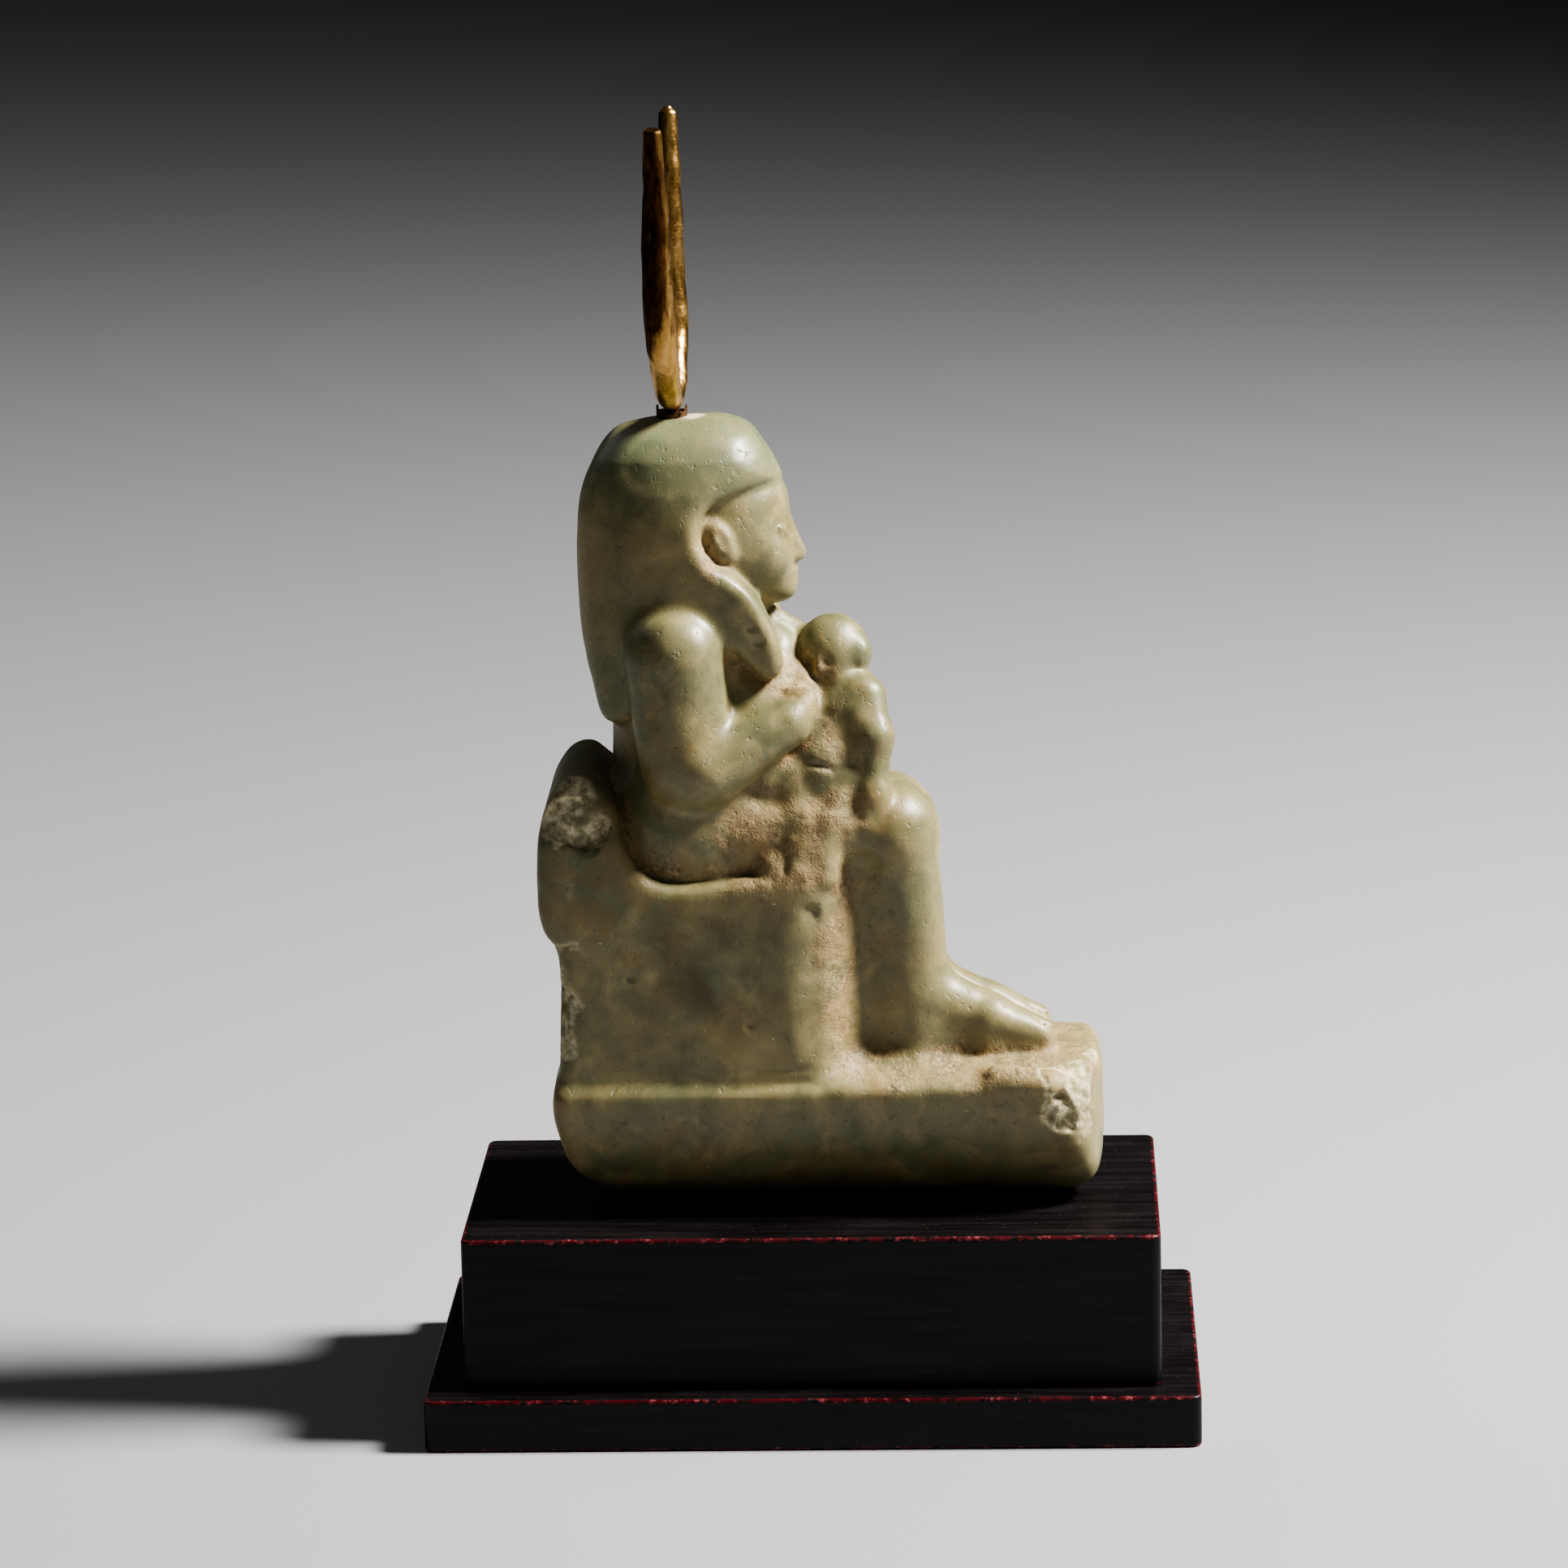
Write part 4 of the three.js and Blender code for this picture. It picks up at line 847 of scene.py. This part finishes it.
# A new node of a tree. A value is either a number or the socket that feeds it.
def new_node(tree, kind, values, settings):
    node = tree.nodes.new(kind)
    for key, value in settings.items():
        setattr(node, key, value)
    for key, value in (values or {}).items():
        give(tree, node.inputs[key], value)
    return node


def give(tree, socket, value):
    if isinstance(value, bpy.types.NodeSocket):
        tree.links.new(value, socket)
    elif socket.type == "RGBA" and len(value) == 3:
        socket.default_value = (*value, 1)
    else:
        socket.default_value = value


# Finishes. Each is a small recipe of patterns in the piece's own coordinates, in metres.
class Finish:
    def __init__(self, name):
        self.material = bpy.data.materials.new(name)
        self.material.use_nodes = True
        self.tree = self.material.node_tree
        self.shader = self.tree.nodes["Principled BSDF"]
        self.place = self.add("ShaderNodeTexCoord").outputs["Object"]

    def add(self, kind, values=None, **settings):
        return new_node(self.tree, kind, values, settings)

    def set(self, **values):
        for key, value in values.items():
            give(self.tree, self.shader.inputs[key.replace("_", " ")], value)

    def attribute(self, name):
        return self.add("ShaderNodeAttribute", attribute_name=name).outputs["Fac"]

    def stretched(self, scale):
        return self.add("ShaderNodeMapping", {"Vector": self.place, "Scale": scale}).outputs[0]

    def noise(self, size, detail=3.0, rough=0.55, place=None, warp=0.0):
        return self.add("ShaderNodeTexNoise", {
            "Vector": place or self.place, "Scale": 1 / size, "Detail": detail,
            "Roughness": rough, "Distortion": warp}).outputs["Fac"]

    def cells(self, size, place=None):
        return self.add("ShaderNodeTexVoronoi", {
            "Vector": place or self.place, "Scale": 1 / size}).outputs["Distance"]

    def span(self, value, low, high, to_low=0.0, to_high=1.0):
        return self.add("ShaderNodeMapRange", {
            "Value": value, "From Min": low, "From Max": high,
            "To Min": to_low, "To Max": to_high}).outputs["Result"]

    def maths(self, operation, one, two):
        return self.add("ShaderNodeMath", {0: one, 1: two}, operation=operation).outputs[0]

    def plus(self, one, two):
        return self.maths("ADD", one, two)

    def times(self, one, two):
        return self.maths("MULTIPLY", one, two)

    def blend(self, factor, one, two):
        one, two = (paint(c) if isinstance(c, str) else c for c in (one, two))
        return self.add("ShaderNodeMix", {0: factor, 6: one, 7: two}, data_type="RGBA").outputs[2]

    def bump(self, height, distance):
        return self.add("ShaderNodeBump", {"Height": height, "Distance": distance}).outputs[0]


# A colour as the shader wants it, from its usual six figures.
def paint(hex_code):
    parts = [int(hex_code[k:k + 2], 16) / 255 for k in (0, 2, 4)]
    return tuple(c / 12.92 if c <= 0.04045 else ((c + 0.055) / 1.055) ** 2.4 for c in parts)


def green_stone():
    f = Finish("pale_green_stone")
    hollow, crust, broken, blotches = (f.attribute(n) for n in ("hollow", "crust", "broken", "blotches"))
    height = f.add("ShaderNodeSeparateXYZ", {"Vector": f.place}).outputs["Z"]
    drift = f.noise(0.022, 3)
    mottle = f.noise(0.005, 5, 0.62, warp=0.6)
    fleck = f.noise(0.0009, 4, 0.65)

    # The stone itself: greener on the crown of the wig, veined, and darker brown-green in clouds on
    # the upright faces of the throne.
    colour = f.blend(f.span(drift, 0.36, 0.64), "8f855f", "747657")
    colour = f.blend(f.span(mottle, 0.5, 0.7, 0, 0.7), colour, "a7986f")
    colour = f.blend(f.span(mottle, 0.46, 0.3, 0, 0.5), colour, "5a5941")
    colour = f.blend(f.span(height, 0.14, 0.158, 0, 0.55), colour, "6f8065")
    vein = f.span(f.noise(0.011, 5, 0.7, warp=1.5), 0.485, 0.5)
    vein = f.times(vein, f.span(f.noise(0.02, 2), 0.5, 0.6, 0, 0.35))
    colour = f.blend(vein, colour, "83693f")
    dark = f.blend(f.span(mottle, 0.42, 0.56), "54422b", "4c5233")
    colour = f.blend(f.times(blotches, f.span(drift, 0.3, 0.6, 0.2, 0.7)), colour, dark)

    # Tan deposits in the hollows and where the crust clings, and pale stone in the breaks.
    film = f.times(f.span(hollow, 0.42, 0.72), f.span(f.noise(0.0034, 5, 0.7), 0.34, 0.6))
    caked = f.times(crust, f.span(f.noise(0.0026, 5, 0.75), 0.36, 0.6, 0.1, 0.9))
    film = f.maths("MAXIMUM", film, caked)
    tan = f.blend(f.span(fleck, 0.38, 0.62), "735a3d", "bba27c")
    tan = f.blend(f.span(mottle, 0.42, 0.6), tan, "a0875f")
    colour = f.blend(film, colour, tan)
    chip = f.blend(f.span(f.noise(0.0015, 5, 0.75), 0.36, 0.58), "8a7f5a", "dcd5b4")
    colour = f.blend(f.times(broken, 0.85), colour, chip)

    # Dirt, the dab of filler, dark specks and pale nicks.
    dirt = f.times(f.span(f.noise(0.0021, 5, 0.72), 0.6, 0.72), 0.5)
    dirt = f.times(dirt, f.span(f.noise(0.012, 3), 0.4, 0.6))
    colour = f.blend(dirt, colour, "4e3c26")
    colour = f.blend(f.attribute("filler"), colour, "d2cbb8")
    speck = f.span(f.cells(0.0012), 0.14, 0.04)
    speck = f.times(speck, f.span(f.noise(0.006, 2), 0.56, 0.72))
    colour = f.blend(speck, colour, "33271a")
    nick = f.span(f.cells(0.0023, f.stretched((1, 0.6, 1.3))), 0.085, 0.05)
    nick = f.times(nick, f.span(f.noise(0.009, 3), 0.52, 0.64, 0, 0.5))
    colour = f.blend(nick, colour, "d6cdae")

    # Polished where it is bare, matt where it is crusted or broken, and finely pitted all over.
    matt = f.times(f.maths("MAXIMUM", film, broken), 0.4)
    rough = f.plus(f.span(mottle, 0.2, 0.8, 0.36, 0.5), matt)
    pores = f.span(f.noise(0.0011, 4, 0.6), 0.6, 0.78, 0, -0.7)
    pores = f.plus(pores, f.times(f.plus(nick, speck), -0.5))
    scuff = f.times(f.noise(0.0004, 3), f.span(film, 0, 1, 0.2, 1.3))
    f.set(Base_Color=colour, Roughness=rough, IOR=1.55,
          Normal=f.bump(f.plus(pores, scuff), 0.00014),
          Subsurface_Weight=0.1, Subsurface_Radius=(1.0, 0.9, 0.5), Subsurface_Scale=0.0012)
    return f.material


# Gilding over brown bronze, worn in streaks along the horns; more bare bronze is painted over their
# near side as painted shade.
def gilt_bronze():
    f = Finish("worn_gilt_bronze")
    spot = f.add("ShaderNodeSeparateXYZ", {"Vector": f.place}).outputs
    wear = f.noise(0.006, 5, 0.6, f.stretched((1, 1, 0.16)))
    fleck = f.noise(0.0012, 4, 0.6, f.stretched((1, 1, 0.3)))
    behind = f.span(spot["Y"], HORN_BACK, HORN_BACK - 0.0022, 0.16, -0.04)
    root = f.span(spot["Z"], HORN_ROOT + 0.007, HORN_ROOT + 0.014, -0.16, 0.02)
    # Painted shade: the near side of the horns gets more bare bronze, which darkens it as shade
    # would.
    near = f.span(spot["X"], 0, -0.01, -0.05, 0.05)
    rubbed_and_near_shade = f.plus(f.plus(behind, root), near)
    worn = f.plus(f.plus(wear, f.times(fleck, 0.3)), rubbed_and_near_shade)
    worn = f.span(worn, 0.66, 0.78)
    gold = f.blend(f.span(fleck, 0.3, 0.7), "a07c45", "cfac74")
    bare = f.blend(f.span(fleck, 0.4, 0.6), "24160d", "5c3f25")
    rough = f.plus(f.span(fleck, 0.2, 0.8, 0.26, 0.4), f.times(worn, 0.22))
    f.set(Base_Color=f.blend(worn, gold, bare), Metallic=1.0, Roughness=rough,
          Normal=f.bump(f.noise(0.0018, 3), 0.00018))
    return f.material


def brown_copper():
    f = Finish("brown_copper")
    blotches = f.noise(0.0012, 4, 0.6)
    f.set(Base_Color=f.blend(f.span(blotches, 0.4, 0.62), "3f2d22", "80604a"),
          Metallic=0.9, Roughness=f.span(blotches, 0.3, 0.7, 0.36, 0.6),
          Normal=f.bump(f.noise(0.0006, 3), 0.00008))
    return f.material


# Black lacquer with a brushed grain, rubbed through to red along the edges, dusty on top, with a
# grey sheen painted on the tops as painted highlight.
def black_lacquer():
    f = Finish("black_lacquer")
    edge, top = f.attribute("edge"), f.attribute("top")
    grain = f.noise(0.0016, 4, 0.6, f.stretched((1, 0.06, 1)))
    cloud = f.noise(0.02, 3)
    rub = f.plus(edge, f.span(f.noise(0.0022, 5, 0.7), 0.3, 0.7, -0.4, 0.3))
    rub = f.span(rub, 0.82, 0.96)
    red = f.blend(f.span(f.noise(0.0011, 3), 0.56, 0.7), "4c1117", "8a4a4c")
    black = f.blend(f.span(cloud, 0.35, 0.65), "080708", "0e0c0e")
    # Painted highlight: a grey sheen with the grain in it, painted over the top faces only.
    painted_top_sheen = f.times(f.span(f.noise(0.012, 5, 0.7), 0.3, 0.7, 0.3, 1), top)
    sheen_grey = f.blend(f.span(grain, 0.4, 0.64), "191517", "2b2426")
    black = f.blend(painted_top_sheen, black, sheen_grey)
    dust = f.times(f.span(f.cells(0.0013), 0.12, 0.04), top)
    black = f.blend(f.times(dust, 0.35), black, "8a837c")
    rough = f.plus(f.span(grain, 0.3, 0.7, 0.26, 0.42), f.times(cloud, 0.12))
    f.set(Base_Color=f.blend(rub, black, red), Roughness=rough, Specular_IOR_Level=0.35,
          Normal=f.bump(grain, 0.0001))
    return f.material


def studio_grey():
    f = Finish("studio_paper")
    f.set(Base_Color=(0.37, 0.37, 0.385), Roughness=0.9)
    return f.material


# The horns follow one path, swept by a node tree and hammered with a fixed pattern.
def horn_path():
    half = HORN_TIP_SPREAD / 2
    arm = [(1, 1), (0.93, 0.86), (0.87, 0.68), (0.86, 0.5), (0.81, 0.34), (0.68, 0.2), (0.4, 0.085)]
    place = [(out * half, HORN_LEAN * ease(0, 0.5, up), HORN_RISE * up) for out, up in arm]
    near = [(-x, y, z) for x, y, z in place]
    bend = (0, 0, HORN_FLAT * HORN_ROOT_WIDTH * 0.44)
    return open_curve([*near, bend, *place[::-1]])


def horn_tree(material):
    tree = bpy.data.node_groups.new("hammered_horns", "GeometryNodeTree")
    tree.is_modifier = True
    sockets = tree.interface
    sockets.new_socket("Geometry", in_out="INPUT", socket_type="NodeSocketGeometry")
    for name in ("Width", "Flatness", "Hammering"):
        sockets.new_socket(name, in_out="INPUT", socket_type="NodeSocketFloat")
    for name in ("Rings", "Sides"):
        sockets.new_socket(name, in_out="INPUT", socket_type="NodeSocketInt")
    sockets.new_socket("Geometry", in_out="OUTPUT", socket_type="NodeSocketGeometry")

    def add(kind, values=None, **settings):
        return new_node(tree, kind, values, settings)

    def maths(operation, *values):
        return add("ShaderNodeMath", dict(enumerate(values)), operation=operation).outputs[0]

    # The path from end to end, and how thick the bar is along it.
    given = add("NodeGroupInput").outputs
    path = add("GeometryNodeMeshToCurve", {"Mesh": given["Geometry"]}).outputs[0]
    path = add("GeometryNodeResampleCurve", {"Curve": path, "Count": given["Rings"]}).outputs[0]
    path = add("GeometryNodeSetCurveNormal", {"Curve": path, "Normal": (0, 1, 0)},
               mode="FREE").outputs[0]
    along = add("GeometryNodeSplineParameter").outputs["Factor"]
    outward = maths("ABSOLUTE", maths("MULTIPLY_ADD", along, 2.0, -1.0))
    taper = add("ShaderNodeFloatCurve", {"Value": outward})
    table = [(0, HORN_ROOT_WIDTH / HORN_WAIST_WIDTH), (0.22, 0.95), (0.45, 1), (0.72, 0.88),
             (0.88, 0.7), (1, HORN_TIP_WIDTH / HORN_WAIST_WIDTH)]
    curve = taper.mapping.curves[0]
    curve.points[0].location, curve.points[1].location = table[0], table[-1]
    for spot in table[1:-1]:
        curve.points.new(*spot)
    taper.mapping.update()
    tip = add("ShaderNodeMapRange", {"Value": along, "From Min": 0.99, "From Max": 1.0,
                                     "To Min": 1.0, "To Max": 0.45},
              interpolation_type="SMOOTHSTEP").outputs[0]
    cut = add("ShaderNodeMapRange", {"Value": along, "From Min": 0.0, "From Max": 0.004,
                                     "To Min": 0.84, "To Max": 1.0}).outputs[0]
    thick = maths("MULTIPLY", maths("MULTIPLY", taper.outputs[0], given["Width"]),
                  maths("MULTIPLY", tip, cut))

    # The bar itself, swept from a flattened ring.
    ring = add("GeometryNodeCurvePrimitiveCircle", {"Resolution": given["Sides"],
                                                    "Radius": 0.5}).outputs[0]
    flat = add("ShaderNodeCombineXYZ", {"X": 1.0, "Y": given["Flatness"], "Z": 1.0}).outputs[0]
    ring = add("GeometryNodeTransform", {"Geometry": ring, "Scale": flat}).outputs[0]
    bar = add("GeometryNodeCurveToMesh", {"Curve": path, "Profile Curve": ring, "Scale": thick,
                                          "Fill Caps": True}).outputs[0]

    # Hammer dents, and a level foot for the bend to rest on.
    facets = add("ShaderNodeTexVoronoi", {"Scale": DENT_FACETS}, feature="SMOOTH_F1").outputs[0]
    waves = add("ShaderNodeTexNoise", {"Scale": DENT_WAVES, "Detail": 1.0}).outputs[0]
    dents = maths("SUBTRACT", maths("ADD", facets, waves), 1.05)
    normal = add("GeometryNodeInputNormal").outputs["Normal"]
    push = add("ShaderNodeVectorMath", {0: normal}, operation="SCALE")
    tree.links.new(maths("MULTIPLY", dents, given["Hammering"]), push.inputs["Scale"])
    bar = add("GeometryNodeSetPosition", {"Geometry": bar, "Offset": push.outputs[0]}).outputs[0]
    spot = add("ShaderNodeSeparateXYZ", {"Vector": add("GeometryNodeInputPosition").outputs[0]})
    low = maths("MAXIMUM", spot.outputs["Z"], 0.0)
    seat = add("ShaderNodeCombineXYZ", {"X": spot.outputs["X"], "Y": spot.outputs["Y"], "Z": low})
    bar = add("GeometryNodeSetPosition", {"Geometry": bar, "Position": seat.outputs[0]}).outputs[0]
    bar = add("GeometryNodeRealizeInstances", {"Geometry": bar}).outputs[0]
    bar = add("GeometryNodeSetMaterial", {"Geometry": bar, "Material": material}).outputs[0]
    add("NodeGroupOutput", {"Geometry": bar})
    return tree


# Sets a node tree's named inputs on its modifier.
def set_inputs(modifier, **values):
    for item in modifier.node_group.interface.items_tree:
        if item.item_type == "SOCKET" and item.in_out == "INPUT" and item.name in values:
            modifier[item.identifier] = values[item.name]


def bend_horns(material):
    path = horn_path() * MM
    mesh = bpy.data.meshes.new("cow_horns_gilt")
    mesh.from_pydata(path.tolist(), [(i, i + 1) for i in range(len(path) - 1)], [])
    piece = linked("cow_horns_gilt", mesh)
    sweep = piece.modifiers.new("sweep", "NODES")
    sweep.node_group = horn_tree(material)
    set_inputs(sweep, Width=HORN_WAIST_WIDTH * MM, Flatness=HORN_FLAT,
               Hammering=DENT_DEPTH * MM, Rings=HORN_RINGS, Sides=HORN_SIDES)
    settle(piece)
    smooth(piece)
    low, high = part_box("horn_socket")
    slot_floor = low[2] + (SOCKET_HEIGHT - SLOT_DEPTH + FIT) * MM
    place = Vector(((low[0] + high[0]) / 2, (low[1] + high[1]) / 2, slot_floor))
    turn = Matrix.Rotation(math.radians(HORN_TURN), 4, "Z")
    piece.data.transform(Matrix.Translation(place) @ turn)
    piece.data.update()
    return piece


# The socket is the solid's own mesh, merged and given softened edges.
def make_socket(material):
    mesh = bpy.data.objects["horn_socket"].data.copy()
    mesh.name = "horn_socket_copper"
    work = bmesh.new()
    work.from_mesh(mesh)
    bmesh.ops.remove_doubles(work, verts=work.verts, dist=1e-6)
    bmesh.ops.dissolve_limit(work, angle_limit=0.02, verts=work.verts, edges=work.edges)
    work.to_mesh(mesh)
    work.free()
    piece = linked("horn_socket_copper", mesh)
    soft = piece.modifiers.new("soft", "BEVEL")
    soft.width = SOCKET_SOFTNESS * MM
    soft.segments = 2
    soft.limit_method = "ANGLE"
    settle(piece)
    smooth(piece)
    piece.data.materials.clear()
    piece.data.materials.append(material)
    return piece


# A slab of the stand: level rings with round corners, from its underside over both soft edges
# to its top. Wear on the edges and corners is kept for the finish.
CORNER_WEAR = [0, 0.4, 0.75, 0.9, 0.75, 0.4, 0]


def rounded_plan(half_x, half_y, radius):
    steps = len(CORNER_WEAR) - 1
    loop = []
    for corner, (sx, sy) in enumerate(((1, 1), (-1, 1), (-1, -1), (1, -1))):
        for step in range(steps + 1):
            turn = math.pi / 2 * (corner + step / steps)
            loop.append((sx * (half_x - radius) + radius * math.cos(turn),
                         sy * (half_y - radius) + radius * math.sin(turn)))
    return np.array(loop)


def make_slab(node, size, foot, material):
    half_x, half_y, height = size[0] / 2, size[1] / 2, size[2]
    turns = [math.pi / 2 * k / 4 for k in range(5)]
    levels = [(1, 0, 0)]
    levels += [(EDGE_BREAK * (1 - math.sin(t)), EDGE_BREAK * (1 - math.cos(t)), 1) for t in turns]
    levels.append((0, 0.9, 0))
    levels += [(inset, height - up, worn) for inset, up, worn in reversed(levels)]
    rings, marks, tops = [], [], []
    for inset, up, worn in levels:
        plan = rounded_plan(half_x - inset, half_y - inset, max(CORNER_RADIUS - inset, 0.5))
        rings.append(np.column_stack([plan, np.full(len(plan), up + foot)]))
        marks.append(np.maximum(worn, np.tile(CORNER_WEAR, 4) * 0.7))
        tops.append(np.full(len(plan), 1.0 if up > height - 0.2 else 0.0))
    around = len(rings[0])
    faces = []
    for i in range(len(rings) - 1):
        for j in range(around):
            k = (j + 1) % around
            below, above = i * around, (i + 1) * around
            faces.append((below + j, below + k, above + k, above + j))
    last = (len(rings) - 1) * around
    faces.append(tuple(range(around))[::-1])
    faces.append(tuple(range(last, last + around)))
    mesh = bpy.data.meshes.new(node + "_lacquered")
    mesh.from_pydata((np.vstack(rings) * MM).tolist(), [], faces)
    keep(mesh, "edge", np.concatenate(marks))
    keep(mesh, "top", np.concatenate(tops))
    mesh.materials.append(material)
    piece = linked(node + "_lacquered", mesh)
    smooth(piece)
    return piece


# Lets a finished piece take the place of its solid, on the one body there is.
def stand_for(piece, node):
    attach(piece, "root")
    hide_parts(node)


def make_floor():
    mesh = bpy.data.meshes.new("studio_floor")
    corners = [(-FLOOR_HALF, -FLOOR_HALF, 0), (FLOOR_HALF, -FLOOR_HALF, 0),
               (FLOOR_HALF, FLOOR_HALF, 0), (-FLOOR_HALF, FLOOR_HALF, 0)]
    mesh.from_pydata(corners, [], [(0, 1, 2, 3)])
    mesh.materials.append(studio_grey())
    linked("studio_floor", mesh)


# A round soft lamp. Its size is in metres and its spread in degrees.
def soft_light(name, place, size, watts, colour=(1, 1, 1), spread=180):
    data = bpy.data.lights.new(name, "AREA")
    data.shape = "DISK"
    data.size = size
    data.energy = watts
    data.spread = math.radians(spread)
    data.color = colour
    lamp = linked(name, data)
    lamp.location = place
    lamp.rotation_euler = (Vector(LAMP_AIM) - Vector(place)).to_track_quat("-Z", "Y").to_euler()


# The photograph was taken from the figure's right side, a little above and ahead of it.
def set_camera():
    yaw, pitch, roll = (math.radians(turn) for turn in CAMERA_TURNS)
    look = Vector((math.cos(yaw) * math.cos(pitch), -math.sin(yaw) * math.cos(pitch),
                   -math.sin(pitch)))
    right = Vector((-math.sin(yaw), -math.cos(yaw), 0))
    up = right.cross(look)
    x_axis = math.cos(roll) * right + math.sin(roll) * up
    y_axis = math.cos(roll) * up - math.sin(roll) * right
    data = bpy.data.cameras.new("camera")
    data.sensor_width = SENSOR
    data.lens = SENSOR * FOCAL_PIXELS / FRAME_PIXELS
    camera = linked("camera", data)
    turn = Matrix((x_axis, y_axis, -look)).transposed().to_4x4()
    camera.matrix_world = Matrix.Translation(CAMERA_PLACE) @ turn
    bpy.context.scene.camera = camera


stone = carve_stone()
stone.data.materials.append(green_stone())
stand_for(stone, "isis_and_horus")
stand_for(bend_horns(gilt_bronze()), "cow_horns")
stand_for(make_socket(brown_copper()), "horn_socket")
lacquer = black_lacquer()
stand_for(make_slab("stand_board", BOARD, 0, lacquer), "stand_board")
stand_for(make_slab("stand_block", BLOCK, BOARD[2], lacquer), "stand_block")

make_floor()
set_camera()
soft_light("key", (0, -0.95, 1.05), 0.35, 23, (1, 0.97, 0.93), 120)
soft_light("fill", (-1.5, -0.2, 0.9), 1.2, 0.7, (0.95, 0.97, 1))
soft_light("back", (0.7, 0.9, 1.0), 1.0, 2)
world = bpy.data.worlds.new("studio")
world.use_nodes = True
sky = world.node_tree.nodes["Background"].inputs
sky["Color"].default_value = (0.8, 0.82, 0.85, 1)
sky["Strength"].default_value = WORLD_STRENGTH
bpy.context.scene.world = world
bpy.context.scene.view_settings.look = "AgX - High Contrast"
